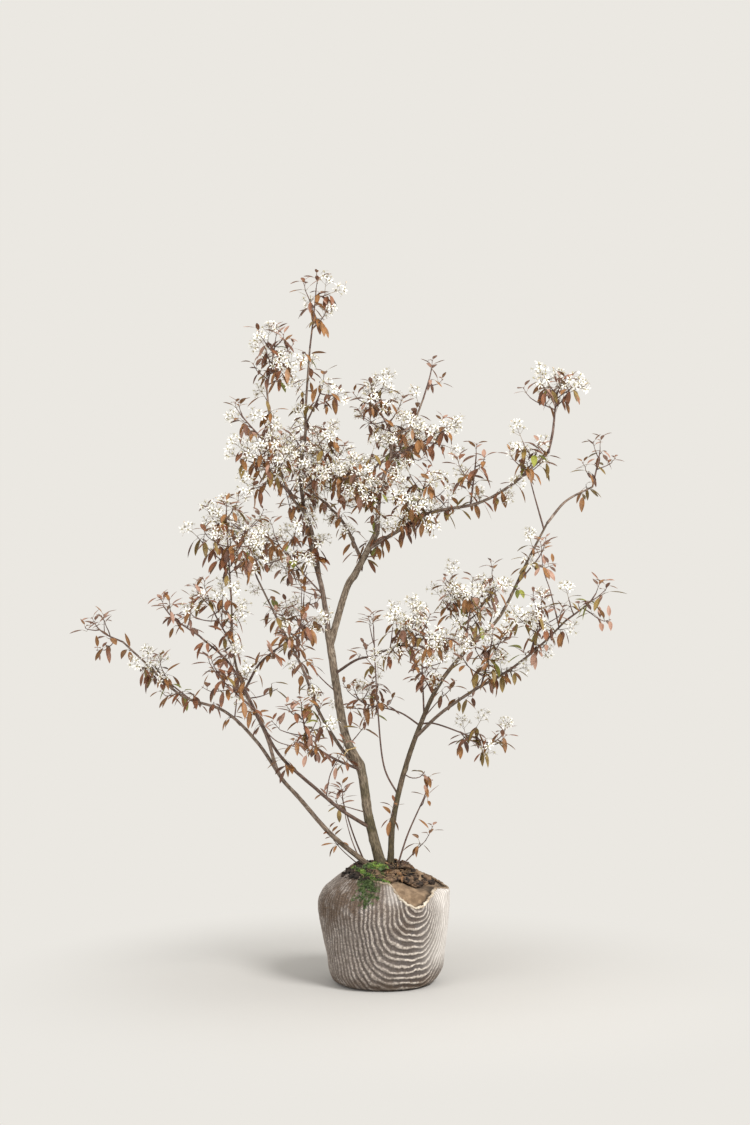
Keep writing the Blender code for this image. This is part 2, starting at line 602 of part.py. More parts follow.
def add_mass(mass, number):
    """One fused node of stem, twigs, leaves and blossom, cut clear of the side of its limb."""
    pieces = grow(mass, random.Random(SEED + number))
    joined = place(mass.name, pieces[0], FOLIAGE, beginning(mass.parent, mass.leaves_at)[0])
    helpers = bpy.data.collections.new(f"pieces of {mass.name}")
    bpy.context.scene.collection.children.link(helpers)
    join_pieces(pieces, joined, helpers)
    if mass.parent in cutters and mass.leaves_at is not None:
        cut_clear(joined, mass.parent)
    apply_modifiers(joined)
    for helper in list(helpers.objects):
        bpy.data.objects.remove(helper)
    bpy.data.collections.remove(helpers)
    keep_largest_body(joined)


for old in list(bpy.data.objects):
    bpy.data.objects.remove(old, do_unlink=True)

paths = {}       # a limb's points, radii and sides
cutters = {}
keep_off = {}    # the guarded shape of each limb and each mass's stem
add_root_ball()
for limb in LIMBS:
    add_limb(limb)

for mass in MASSES:
    stem = stem_of(mass)
    paths[mass.name] = (stem, tapered(len(stem), MASS_STEM_FOOT, MASS_STEM_TIP), MASS_STEM_SIDES)
for name in paths:
    guard = fatter(name, CLEARANCE)
    keep_off[name] = BVHTree.FromPolygons(guard.points, guard.faces)
for number, mass in enumerate(MASSES):
    add_mass(mass, number)
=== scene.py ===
"""The looks of a serviceberry in flower on its wrapped root ball, in metres with +Z up.

The limbs and the masses of foliage are the solid model's own. Each mass grows finer here by the same
rule: twigs leave its stem by the golden angle, and spurs along them carry blossom and young leaves.
"""

import json
import math
import random
from collections import namedtuple

import bmesh
import bpy
import numpy as np
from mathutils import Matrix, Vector, noise

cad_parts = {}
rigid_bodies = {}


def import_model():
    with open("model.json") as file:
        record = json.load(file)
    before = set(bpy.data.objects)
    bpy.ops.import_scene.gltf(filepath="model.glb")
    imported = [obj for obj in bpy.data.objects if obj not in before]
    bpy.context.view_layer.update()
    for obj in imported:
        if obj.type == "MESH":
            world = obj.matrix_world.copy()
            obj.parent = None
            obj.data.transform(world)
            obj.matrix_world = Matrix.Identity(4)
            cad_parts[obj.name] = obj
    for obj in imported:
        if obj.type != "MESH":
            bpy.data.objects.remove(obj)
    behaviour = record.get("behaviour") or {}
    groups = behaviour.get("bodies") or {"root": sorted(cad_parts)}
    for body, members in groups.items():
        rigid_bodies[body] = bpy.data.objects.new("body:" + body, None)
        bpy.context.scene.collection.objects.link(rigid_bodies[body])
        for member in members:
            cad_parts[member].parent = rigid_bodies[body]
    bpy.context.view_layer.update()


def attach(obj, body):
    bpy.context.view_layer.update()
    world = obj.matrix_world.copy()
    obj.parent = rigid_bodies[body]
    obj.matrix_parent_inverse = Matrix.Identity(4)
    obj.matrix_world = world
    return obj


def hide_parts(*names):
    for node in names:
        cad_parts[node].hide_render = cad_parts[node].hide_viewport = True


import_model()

GOLDEN_TURN = math.radians(137.5)
SEED = 41                    # of the first mass, and the others count on from it
MOSS_SEED, CRUMB_SEED, LIMB_SEED, SHOOT_SEED = 100, 200, 300, 400     # each added to SEED
UP = Vector((0, 0, 1))
BALL = ["root_ball"]         # the solid that the cloth, the soil and all that lies on them stand for

# The root ball, as in the solid model
BALL_OUTLINE = (
    (0.0, 0.135), (0.012, 0.156), (0.045, 0.172), (0.100, 0.179), (0.165, 0.190), (0.235, 0.199),
    (0.275, 0.188), (0.300, 0.164), (0.325, 0.134), (0.343, 0.105), (0.354, 0.080),
)
BALL_CROWN = BALL_OUTLINE[-1][0]
SLUMP_TURN, SLUMP_SPREAD = math.radians(-35), math.radians(46)
SLUMP_DEPTH, SLUMP_FROM, SLUMP_TO = 0.038, 0.282, 0.306
TEAR_TURN, TEAR_SPREAD = math.radians(-59), math.radians(17)
TEAR_DEPTH, TEAR_HEIGHT, TEAR_TALL = 0.013, 0.278, 0.026
CORNER_TURN, CORNER_SPREAD = math.radians(-8), math.radians(20)
CORNER_OUT, CORNER_HEIGHT, CORNER_TALL = 0.012, 0.281, 0.016
LUMP = 0.003

# The cloth: its upper edge as turn in degrees and height, low where it is torn open in front
CLOTH_EDGE = (
    (-180, 0.346), (-150, 0.346), (-130, 0.342), (-112, 0.332), (-98, 0.322), (-86, 0.317),
    (-80, 0.309), (-78, 0.294), (-74, 0.276), (-68, 0.260), (-61, 0.250), (-55, 0.254), (-48, 0.264),
    (-43, 0.277), (-32, 0.288), (-20, 0.291), (-6, 0.287), (10, 0.291), (30, 0.312), (55, 0.332),
    (90, 0.341), (135, 0.345), (180, 0.346),
)
CLOTH_ROWS, CLOTH_SIDES = 176, 540
RIB_ROUND = 0.199            # the ball's radius where the ribs are counted
RIBS_ROUND = 92              # even, so that the two halves meet behind
RIBS_CROWD = 0.26            # how much closer the ribs stand right of the tear, in radians
RIB_DROP = 0.0180            # from one hanging rib to the next
RIB_BEND, RIB_BEND_MORE = 1.9, 2.3     # how square the bows are: the nearest ones, and what is added
RIBS_TO_SQUARE = 14
RIB_HIGH, RIB_SWAG_HIGH = 0.0018, 0.0040
SWAG_SPREAD = 0.105
PULLED_FLAT = math.radians(-10)        # the turn at which the ribs lie flattest
STITCH, STITCH_HIGH = 0.0075, 0.0005
HEM_RADIUS = 0.0036
SOIL_INSIDE = 0.007          # below the cloth
CRACK_TURN, CRACK_SPREAD = math.radians(-47), math.radians(24)   # under the clods behind the tear
CRACK_DEPTH, CRACK_TALL = 0.018, 0.0055
CRACK_HIGH, CRACK_LOW = 0.321, 0.298
HEM_SIDES = 8
SOIL_ROWS, SOIL_SIDES, CROWN_RINGS = 70, 220, 26
CROWN_TOP = BALL_CROWN + 0.001         # where things lie on the crown
CROWN_MOSS, TRAILING_MOSS, EDGE_MOSS = 74, 170, 46
CLODS, LEFT_CRUMBS, CROWN_CRUMBS = 240, 130, 150
DEAD_LEAVES, STRAWS = 34, 26

# Limbs
BARK_STEP = 0.006
THICK_FOOT, THICK_SIDES, THIN_SIDES = 0.009, 24, 14
STREAK = 7                   # how much longer the streaks are along a limb than round it
CURVE_STEPS = 10
FLARE, FLARE_HEIGHT = 0.28, 0.030
FOOT_SUNK = 0.004            # into the ball's crown
STRAIGHT_FOOT = 0.25
TAPER = 0.85
FINE_END = 0.008             # a limb that ends finer than this is slimmer than the solid there
TIP_SLIM = 0.72              # of the solid's radius, at such a tip
BUD_OUTLINE = ((0.0, 0.30), (0.22, 0.50), (0.50, 0.46), (0.78, 0.24))     # height and radius
BUD_SIDES = 6
TWINE_HEIGHT, TWINE_ROUND = 0.704, 0.0158
TWINE_STEPS, TWINE_LOOSE = 32, 22      # the step where its loose end leaves the turn

# Masses
STEM_FOOT, STEM_TIP = 0.0030, 0.0019
STEM_REACH, STEM_RISE = 0.55, 0.40
STEM_BEND_FROM = 0.040
STEM_STEP, TWIG_STEP = 0.014, 0.012
FIRST_TWIG_DEPTH, LAST_TWIG = 0.90, 0.94
TWIG_FOOT, TWIG_TIP = 0.0021, 0.0013
TWIG_REACH = (0.50, 0.80)
TWIG_ONWARD, TWIG_RISE, TWIG_CURL = 0.45, (-0.25, 0.40), 0.25
SHORTEST_TWIG, LONGEST_TWIG = 0.036, 0.140
SPUR_STEP = 0.034
FIRST_SPUR, LAST_SPUR = 0.030, 0.012    # from a twig's foot and from its end
SPUR_LENGTH = (0.008, 0.024)
SPUR_RADIUS = 0.0012

# Blossom and leaves
PETALS, STAMENS = 5, 6       # as many sepals as petals, and a corner of the cup to each stamen
PETAL_LENGTH, PETAL_WIDTH = 0.0130, 0.0040
FLOWERS = (6, 10)            # on a raceme
RACEME_LENGTH, RACEME_STEP = (0.036, 0.062), 0.009
RACEME_LEAN, RACEME_RISE = 0.5, (-0.9, 0.7)
PEDICEL = (0.014, 0.025)
LEAF_LENGTH = (0.030, 0.054)
LEAF_SLIM = (0.28, 0.38)     # width over length
LEAVES_BELOW, LEAVES_ALONE = (2, 4), (3, 5)       # on a spur with blossom, and without
HANGING, SPREADING = (-1.8, 0.1), (-1.5, 0.5)     # how steeply leaves rise: below blossom, and alone
TIP_LENGTH, TIP_SHORTEST = (0.025, 0.048), 0.008
TIP_LEAF = (0.026, 0.038)
MIDDLE = -0.15               # in x: the petals left of it are one piece, and the others a second

Limb = namedtuple("Limb", "name parent leaves_at bends tip foot end bark")

LIMBS = (
    Limb("main_trunk", None, (-0.009, 0.0),
         [(-0.048, 0.0, 0.505), (-0.069, 0.01, 0.637), (-0.115, 0.02, 0.736), (-0.143, 0.03, 0.882)],
         (-0.170, 0.03, 1.064), 0.0155, 0.0115, "trunk"),
    Limb("left_stem", None, (-0.040, -0.022),
         [(-0.163, -0.035, 0.454), (-0.252, -0.05, 0.559), (-0.315, -0.07, 0.637), (-0.352, -0.09, 0.755),
          (-0.413, -0.12, 0.885), (-0.444, -0.15, 0.997)],
         (-0.450, -0.175, 1.160), 0.0082, 0.0038, "stem"),
    Limb("right_stem", None, (0.019, 0.020),
         [(0.027, 0.03, 0.48), (0.059, 0.05, 0.621), (0.108, 0.07, 0.763), (0.173, 0.10, 0.899),
          (0.268, 0.14, 1.011), (0.363, 0.18, 1.103), (0.451, 0.23, 1.272)],
         (0.518, 0.27, 1.395), 0.0095, 0.0045, "dark stem"),
    Limb("leader", "main_trunk", None,
         [(-0.188, 0.03, 1.186), (-0.216, 0.05, 1.293), (-0.241, 0.06, 1.415), (-0.256, 0.05, 1.547),
          (-0.240, 0.03, 1.652), (-0.237, 0.02, 1.755)],
         (-0.225, 0.01, 1.920), 0.0085, 0.0038, "stem"),
    Limb("left_leader", "leader", 1.215,
         [(-0.209, 0.02, 1.323), (-0.237, 0.015, 1.414), (-0.282, 0.0, 1.472), (-0.322, -0.04, 1.576),
          (-0.341, -0.08, 1.696)],
         (-0.350, -0.10, 1.790), 0.0058, 0.0038, "stem"),
    Limb("right_fork", "main_trunk", 1.020,
         [(-0.115, 0.0, 1.187), (-0.081, -0.02, 1.247)],
         (-0.021, -0.05, 1.362), 0.0112, 0.0092, "trunk"),
    Limb("inner_left_bough", "right_fork", 1.275,
         [(-0.121, 0.02, 1.387), (-0.175, 0.10, 1.447)],
         (-0.225, 0.18, 1.490), 0.0058, 0.0038, "stem"),
    Limb("upper_bough", "right_fork", None,
         [(-0.012, -0.03, 1.489), (0.018, 0.0, 1.581), (0.030, 0.03, 1.650), (0.086, 0.06, 1.691)],
         (0.120, 0.08, 1.770), 0.0080, 0.0038, "stem"),
    Limb("long_right_bough", "right_fork", 1.312,
         [(0.036, -0.10, 1.361), (0.134, -0.20, 1.415), (0.271, -0.28, 1.442), (0.371, -0.33, 1.498)],
         (0.466, -0.36, 1.582), 0.0064, 0.0042, "stem"),
    Limb("right_top_bough", "long_right_bough", None,
         [(0.478, -0.37, 1.640)],
         (0.484, -0.37, 1.700), 0.0042, 0.0038, "shoot"),
    Limb("right_stem_top", "right_stem", None,
         [(0.581, 0.30, 1.466)],
         (0.668, 0.33, 1.512), 0.0045, 0.0038, "stem"),
    Limb("bare_twig", "right_stem", 1.375,
         [(0.478, 0.24, 1.470)],
         (0.461, 0.23, 1.530), 0.0030, 0.0022, "shoot"),
    Limb("right_low_bough", "right_stem", 0.735,
         [(0.173, 0.0, 0.814), (0.270, -0.06, 0.887), (0.368, -0.12, 0.948), (0.461, -0.18, 1.028)],
         (0.530, -0.215, 1.100), 0.0055, 0.0038, "stem"),
    Limb("inner_right_bough", "main_trunk", 0.930,
         [(-0.084, -0.03, 0.976)],
         (-0.030, -0.08, 0.990), 0.0045, 0.0038, "shoot"),
    Limb("far_left_bough", "left_stem", 0.625,
         [(-0.384, -0.06, 0.735), (-0.482, -0.03, 0.822), (-0.615, 0.0, 0.868), (-0.735, 0.02, 0.974)],
         (-0.795, 0.03, 1.028), 0.0055, 0.0038, "stem"),
    Limb("left_long_bough", "main_trunk", 0.635,
         [(-0.131, 0.05, 0.703), (-0.203, 0.13, 0.813), (-0.252, 0.20, 0.933), (-0.328, 0.28, 1.072)],
         (-0.405, 0.345, 1.220), 0.0060, 0.0038, "stem"),
    Limb("left_forward_bough", "main_trunk", 0.465,
         [(-0.123, -0.06, 0.524), (-0.202, -0.13, 0.599), (-0.302, -0.20, 0.700), (-0.356, -0.24, 0.800),
          (-0.439, -0.30, 0.969)],
         (-0.530, -0.335, 1.060), 0.0060, 0.0038, "shoot"),
    Limb("left_cross_bough", "left_stem", 0.890,
         [(-0.370, -0.18, 0.968)],
         (-0.325, -0.23, 1.010), 0.0042, 0.0038, "shoot"),
    Limb("kink_bough", "main_trunk", 0.640,
         [(-0.146, -0.10, 0.684)],
         (-0.220, -0.21, 0.740), 0.0044, 0.0038, "shoot"),
)

# Old cuts and swellings on a limb: its name, height, turn round it in degrees, height and width
KNOTS = (
    ("main_trunk", 0.653, 0, 0.0040, 0.014),
    ("main_trunk", 0.430, 150, 0.0022, 0.009),
    ("main_trunk", 0.835, 200, 0.0024, 0.010),
    ("main_trunk", 0.985, -60, 0.0026, 0.011),
    ("right_stem", 0.640, 20, 0.0020, 0.009),
    ("right_stem", 0.480, -150, 0.0016, 0.008),
    ("right_fork", 1.230, -30, 0.0026, 0.009),
    ("leader", 1.300, -120, 0.0018, 0.008),
    ("left_stem", 0.470, -60, 0.0016, 0.008),
)

# The masses of foliage, where the solid model has them. After the number of twigs come the share of
# spurs left out, the share that flowers, how much of the mass's space is filled across and up, and how
# far the middle is moved
Mass = namedtuple("Mass", "name parent leaves_at centre reach twigs skip bloom wide tall shift bends",
                  defaults=[0.92, 0.92, (0, 0, 0), ()])

MASSES = (
    Mass("top", "leader", None, (-0.21, 0.01, 2.04), (0.115, 0.115, 0.125),
         4, 0.35, 0.35, 0.80, 0.92, (0, 0, 0.012)),
    Mass("left_leader", "left_leader", None, (-0.34, -0.10, 1.89), (0.11, 0.12, 0.145),
         8, 0.00, 0.50, 0.66, 0.95, (0.010, 0, 0)),
    Mass("leader_front", "leader", 1.69, (-0.18, -0.06, 1.77), (0.12, 0.115, 0.115),
         2, 0.15, 0.30, 0.72, 0.92, (-0.015, 0, 0)),
    Mass("outer_left", "left_leader", 1.60, (-0.41, -0.14, 1.69), (0.08, 0.09, 0.12),
         2, 0.30, 0.25, 0.72, 0.90),
    Mass("centre_left", "left_leader", 1.47, (-0.35, -0.12, 1.56), (0.12, 0.13, 0.13), 9, 0.00, 0.75),
    Mass("centre_right", "leader", 1.49, (-0.17, 0.0, 1.59), (0.105, 0.12, 0.14),
         9, 0.00, 0.75, 0.92, 0.98, (0.010, 0, -0.030)),
    Mass("centre_back", "inner_left_bough", None, (-0.26, 0.26, 1.59), (0.16, 0.15, 0.155), 8, 0.10, 0.65),
    Mass("upper_tip", "upper_bough", None, (0.14, 0.09, 1.85), (0.075, 0.075, 0.105),
         1, 0.80, 0.00, 0.70, 0.85, (0, 0, -0.014)),
    Mass("upper_left", "upper_bough", 1.65, (-0.03, 0.05, 1.77), (0.115, 0.125, 0.145),
         8, 0.05, 0.50, 0.80, 0.90, (0.010, 0, -0.022)),
    Mass("upper_side", "upper_bough", 1.585, (0.13, -0.06, 1.65), (0.115, 0.115, 0.11),
         4, 0.10, 0.60, 0.92, 0.85, (0, 0, -0.010)),
    Mass("upper_front", "upper_bough", 1.44, (-0.06, -0.14, 1.53), (0.11, 0.125, 0.135),
         9, 0.00, 0.70, 0.95, 0.98, (-0.010, 0, -0.030)),
    Mass("upper_back", "upper_bough", 1.60, (0.05, 0.22, 1.62), (0.15, 0.15, 0.155), 7, 0.10, 0.65),
    Mass("long_mid", "long_right_bough", 1.372, (0.10, -0.20, 1.45), (0.13, 0.125, 0.13), 8, 0.05, 0.65),
    Mass("long_shoot", "long_right_bough", 1.436, (0.26, -0.31, 1.54), (0.10, 0.105, 0.12),
         2, 0.05, 0.20, 0.80, 0.85),
    Mass("long_end", "long_right_bough", 1.505, (0.41, -0.39, 1.54), (0.11, 0.105, 0.10), 3, 0.25, 0.50),
    Mass("right_top", "right_top_bough", None, (0.49, -0.37, 1.78), (0.145, 0.13, 0.115),
         8, 0.00, 0.45, 0.92, 0.52, (0, 0, -0.045)),
    Mass("rightmost", "right_stem_top", None, (0.70, 0.34, 1.59), (0.10, 0.105, 0.125),
         3, 0.25, 0.00, 0.64, 0.92, (-0.012, 0, 0.006)),
    Mass("left_stem", "left_stem", None, (-0.46, -0.20, 1.35), (0.14, 0.14, 0.155), 9, 0.00, 0.55),
    Mass("left_long", "left_long_bough", None, (-0.45, 0.39, 1.34), (0.16, 0.15, 0.155), 8, 0.10, 0.60, 0.80),
    Mass("left_stem_side", "left_stem", 1.02, (-0.50, -0.22, 1.13), (0.115, 0.12, 0.13), 6, 0.15, 0.40),
    Mass("left_centre", "leader", 1.17, (-0.30, -0.03, 1.27), (0.125, 0.125, 0.14),
         8, 0.05, 0.65, 0.92, 0.92, (0, 0, 0.030)),
    Mass("left_forward", "left_forward_bough", None, (-0.60, -0.37, 1.11), (0.12, 0.12, 0.10),
         2, 0.35, 0.30, 0.80, 0.85, (0, 0.012, 0)),
    Mass("left_forward_side", "left_forward_bough", 0.84, (-0.46, -0.34, 0.93), (0.115, 0.11, 0.11),
         2, 0.30, 0.12),
    Mass("far_left", "far_left_bough", None, (-0.85, 0.04, 1.07), (0.11, 0.115, 0.11),
         4, 0.30, 0.00, 0.60, 0.80, (-0.001, 0, -0.018)),
    Mass("far_left_mid", "far_left_bough", 0.855, (-0.67, 0.02, 0.92), (0.135, 0.12, 0.115), 3, 0.25, 0.55),
    Mass("left_cross", "left_cross_bough", None, (-0.27, -0.28, 1.05), (0.125, 0.125, 0.12), 5, 0.25, 0.30),
    Mass("left_long_side", "left_long_bough", 0.98, (-0.26, 0.30, 1.10), (0.13, 0.13, 0.14), 5, 0.20, 0.35),
    Mass("kink", "kink_bough", None, (-0.26, -0.29, 0.79), (0.125, 0.125, 0.12),
         7, 0.20, 0.12, 0.92, 0.92, (0.030, 0, 0)),
    Mass("inner_right", "inner_right_bough", None, (0.04, -0.16, 1.06), (0.175, 0.14, 0.135),
         11, 0.00, 0.85, 1.02, 0.58, (0.055, 0, -0.005)),
    Mass("right_mid", "right_stem", 0.99, (0.26, 0.04, 1.15), (0.155, 0.14, 0.15),
         9, 0.00, 0.75, 1.00, 0.72, (0.008, 0.085, -0.018)),
    Mass("right_inner", "right_stem", 0.80, (0.12, 0.19, 0.94), (0.11, 0.125, 0.13), 5, 0.20, 0.20),
    Mass("right_low_mid", "right_low_bough", 0.90, (0.31, -0.14, 0.99), (0.125, 0.12, 0.115), 7, 0.05, 0.35),
    Mass("right_low_far", "right_low_bough", 1.00, (0.45, -0.22, 1.11), (0.105, 0.115, 0.125),
         6, 0.05, 0.70, 0.92, 0.85, (0, 0, -0.018)),
    Mass("right_low", "right_low_bough", None, (0.59, -0.26, 1.15), (0.10, 0.115, 0.15),
         3, 0.20, 0.05, 0.75, 0.90),
    Mass("right_upper", "right_stem", 1.20, (0.48, 0.18, 1.28), (0.09, 0.10, 0.11),
         1, 0.50, 0.20, 0.75, 0.80),
    Mass("right_droop", "right_stem", 0.775, (0.29, 0.03, 0.745), (0.16, 0.11, 0.095),
         4, 0.30, 0.40, 1.05, 0.62, (0.030, 0, -0.025), bends=[(0.165, 0.055, 0.775)]),
    Mass("right_back", "right_stem", 0.77, (-0.06, 0.32, 0.82), (0.12, 0.125, 0.105),
         6, 0.20, 0.30, bends=[(0.045, 0.17, 0.805)]),
    Mass("back_shoot", "right_stem", 0.56, (-0.03, 0.23, 1.02), (0.10, 0.11, 0.12),
         2, 0.50, 0.30, bends=[(0.0, 0.10, 0.644), (-0.018, 0.15, 0.807)]),
    Mass("left_base", "crown", (-0.055, 0.020), (-0.12, 0.06, 0.52), (0.09, 0.085, 0.10),
         1, 1.00, 0.00, 0.70, 0.90, bends=[(-0.09, 0.045, 0.43)]),
    Mass("right_base", "crown", (0.040, -0.010), (0.12, -0.03, 0.56), (0.09, 0.09, 0.105),
         1, 1.00, 0.00, 0.70, 0.90, bends=[(0.072, -0.02, 0.45)]),
)
SPRAYS = [f"{mass.name}_spray" for mass in MASSES]

# Thin shoots too fine for the solid model: a parent, where each leaves it, its points and its spurs
Shoot = namedtuple("Shoot", "parent leaves_at bends spurs")

SHOOTS = (
    Shoot("crown", (0.050, -0.020), [(0.094, -0.030, 0.399), (0.124, -0.040, 0.432)], 1),
    Shoot("crown", (-0.064, 0.012),
          [(-0.082, 0.018, 0.387), (-0.100, 0.025, 0.432), (-0.116, 0.03, 0.490), (-0.124, 0.03, 0.541)], 0),
    Shoot("crown", (-0.070, -0.010), [(-0.124, -0.020, 0.399), (-0.152, -0.025, 0.432)], 1),
    Shoot("right_stem", 0.423, [(0.014, 0.000, 0.470), (0.026, -0.015, 0.514)], 1),
    Shoot("right_stem", 0.625, [(0.082, 0.035, 0.614), (0.108, 0.030, 0.616), (0.124, 0.025, 0.634)], 1),
    Shoot("right_stem", 0.790, [(0.166, 0.055, 0.846), (0.199, 0.050, 0.878)], 1),
    Shoot("main_trunk", 0.511, [(-0.124, -0.020, 0.535), (-0.149, -0.030, 0.542)], 1),
    Shoot("main_trunk", 0.715, [(-0.084, 0.010, 0.742), (-0.061, 0.000, 0.772)], 1),
    Shoot("main_trunk", 0.872, [(-0.191, 0.000, 0.920), (-0.241, -0.030, 0.984)], 2),
    Shoot("leader", 1.165, [(-0.226, 0.010, 1.176), (-0.262, -0.010, 1.192)], 1),
    Shoot("right_low_bough", 1.080,
          [(0.487, -0.200, 1.184), (0.468, -0.200, 1.241), (0.460, -0.200, 1.298)], 1),
    Shoot("leader", 1.360, [(-0.280, 0.090, 1.420), (-0.300, 0.110, 1.480)], 2),
    Shoot("right_stem", 1.060, [(0.350, 0.200, 1.150), (0.340, 0.220, 1.235)], 2),
    Shoot("far_left_bough", 0.800, [(-0.450, 0.060, 0.880), (-0.470, 0.090, 0.960)], 1),
    Shoot("left_stem", 0.872, [(-0.455, -0.125, 0.890), (-0.510, -0.130, 0.886)], 1),
    Shoot("left_stem", 0.866, [(-0.365, -0.100, 0.872), (-0.318, -0.090, 0.893)], 1),
    Shoot("left_stem", 0.775, [(-0.320, -0.080, 0.735), (-0.262, -0.060, 0.716)], 2),
    Shoot("left_forward_bough", 0.570, [(-0.160, -0.100, 0.640), (-0.128, -0.090, 0.696)], 2),
)

# Limbs that carry spurs of their own: from which share of their length on, the share of spurs left
# out, and the share that flowers
DRESSED = {
    "leader": (0.26, 0.10, 0.55),
    "left_leader": (0.10, 0.00, 0.65),
    "left_stem": (0.58, 0.25, 0.40),
    "right_stem": (0.70, 0.65, 0.40),
    "inner_left_bough": (0.08, 0.00, 0.50),
    "upper_bough": (0.02, 0.00, 0.55),
    "long_right_bough": (0.03, 0.00, 0.50),
    "right_low_bough": (0.32, 0.15, 0.40),
    "far_left_bough": (0.36, 0.40, 0.15),
    "left_long_bough": (0.36, 0.25, 0.25),
    "left_forward_bough": (0.42, 0.45, 0.15),
    "left_cross_bough": (0.30, 0.20, 0.25),
    "kink_bough": (0.30, 0.30, 0.00),
    "inner_right_bough": (0.45, 0.20, 0.60),
    "right_stem_top": (0.75, 0.30, 0.00),
    "right_fork": (0.74, 0.10, 0.30),
}

# Colours as they are seen, from 0 to 255
BARK_LOOKS = {       # pale and dark streaks, patches, and how green it is low down
    "trunk": ((152, 136, 118), (80, 67, 55), (174, 162, 146), 0.90),
    "dark stem": ((116, 98, 80), (62, 50, 40), (140, 124, 106), 0.95),
    "stem": ((142, 122, 108), (76, 61, 53), (166, 153, 141), 0.45),
    "shoot": ((114, 90, 80), (62, 45, 39), (140, 119, 109), 0.2),
}
LEAF_TONES = {       # colour, deeper colour, veins
    "copper": ((145, 98, 52), (113, 75, 38), (180, 140, 94)),
    "red": ((133, 84, 54), (102, 61, 38), (164, 120, 90)),
    "maroon": ((110, 75, 57), (86, 55, 41), (142, 110, 92)),
    "olive": ((134, 110, 54), (108, 86, 42), (166, 146, 92)),
    "green": ((140, 146, 58), (118, 116, 44), (174, 178, 100)),
    "rose": ((168, 132, 114), (142, 104, 86), (198, 168, 149)),
}
DEAD_LEAF_TONES = ((150, 112, 74), (96, 66, 44), (190, 160, 120))

# Pieces of two tones: their name, the tones, the mottle's scale, the roughness and the bumps' height
FOLIAGE_LOOKS = (
    ("flower_hearts", (146, 136, 84), (190, 178, 128), 400),
    ("sepals", (120, 70, 56), (120, 110, 60), 300),
    ("flower_buds", (226, 214, 196), (176, 150, 112), 240),
    ("stalks", (112, 84, 60), (128, 112, 66), 90),
    ("twigs", (78, 56, 48), (116, 92, 82), 160, 0.7, 0.0006),
    ("twig_buds", (92, 52, 44), (132, 84, 66), 300),
)
LOOSE_LOOKS = (
    ("bright_moss", (100, 136, 54), (142, 170, 80), 120),
    ("dark_moss", (54, 74, 40), (98, 116, 68), 90),
    ("soil_crumbs", (62, 48, 38), (128, 104, 82), 60, 0.97, 0.002),
    ("damp_crumbs", (20, 16, 14), (58, 46, 37), 70, 0.97, 0.002),
)
STRAW_LOOK = ((148, 124, 88), (96, 76, 54), 120)
TWINE_LOOK = ((206, 184, 136), (160, 134, 92), 500, 0.8, 0.0008)

# The stage
FLOOR_REACH, FLOOR_SIDES = 9, 96
LAMPS = (            # name, place, aim, size, power and colour
    ("key", (2.6, -3.2, 3.9), (0, 0, 0.9), 2.0, 280, (1.0, 0.98, 0.95)),
    ("fill", (-3.2, -3.4, 2.2), (0, 0, 1.1), 3.0, 55, (1, 1, 1)),
)
CAMERA_PLACE = (-0.0273, -6.0, 1.27)
LENS, SENSOR = 63.36, 36     # in millimetres, the second one upright


def srgb(red, green, blue):
    """A colour seen as 0 to 255, as the linear numbers that a shader takes."""
    return tuple(((part / 255 + 0.055) / 1.055) ** 2.4 if part > 10 else part / 255 / 12.92
                 for part in (red, green, blue))


BACKDROP = srgb(235, 232, 226)


# Shapes shared by everything


def bell(value, middle, spread):
    """1 at the middle, falling smoothly towards 0 on both sides."""
    return math.exp(-((value - middle) / spread) ** 2)


def ramp(value, low, high):
    """A smooth step from 0 at low to 1 at high."""
    share = min(1.0, max(0.0, (value - low) / (high - low)))
    return share * share * (3 - 2 * share)


def angle_from(middle, turn):
    """The angle from one turn to another, the shorter way round."""
    return (turn - middle + math.pi) % math.tau - math.pi


def polar(turn, reach, height):
    """The point at a turn and a reach from the upright axis."""
    return Vector((reach * math.cos(turn), reach * math.sin(turn), height))


def around(heading, turn):
    """A direction square to a heading, at a turn round it."""
    side = heading.orthogonal().normalized()
    return side * math.cos(turn) + heading.cross(side) * math.sin(turn)


def smooth_curve(points):
    """A smooth curve through the points, as closely spaced points."""
    padded = [2 * points[0] - points[1], *points, 2 * points[-1] - points[-2]]
    curve = []
    for before, here, there, after in zip(padded, padded[1:], padded[2:], padded[3:]):
        for step in range(CURVE_STEPS):
            t = step / CURVE_STEPS
            curve.append(0.5 * (2 * here + (there - before) * t
                                + (2 * before - 5 * here + 4 * there - after) * t * t
                                + (3 * here - before - 3 * there + after) * t * t * t))
    curve.append(points[-1].copy())
    return curve


def evenly(curve, step):
    """The same curve as points about one step apart."""
    lengths = [0.0]
    for here, there in zip(curve, curve[1:]):
        lengths.append(lengths[-1] + (there - here).length)
    count = max(1, round(lengths[-1] / step))
    points, place = [], 0
    for number in range(count + 1):
        wanted = lengths[-1] * number / count
        while place < len(curve) - 2 and lengths[place + 1] < wanted:
            place += 1
        stretch = lengths[place + 1] - lengths[place]
        points.append(curve[place].lerp(curve[place + 1], (wanted - lengths[place]) / stretch))
    return points


def headings(points):
    """The direction of a path at each of its points."""
    steps = [(there - here).normalized() for here, there in zip(points, points[1:])]
    middle = [(here + there).normalized() for here, there in zip(steps, steps[1:])]
    return [steps[0], *middle, steps[-1]]


def along(points, share):
    """The place and heading at a share of a path."""
    place = min(int(share * (len(points) - 1)), len(points) - 2)
    part = share * (len(points) - 1) - place
    return points[place].lerp(points[place + 1], part), (points[place + 1] - points[place]).normalized()


def at_height(points, height):
    """The point where a rising path reaches a height."""
    for here, there in zip(points, points[1:]):
        if here.z <= height <= there.z:
            return here.lerp(there, (height - here.z) / (there.z - here.z))
    raise ValueError(f"the path doesn't reach {height}")


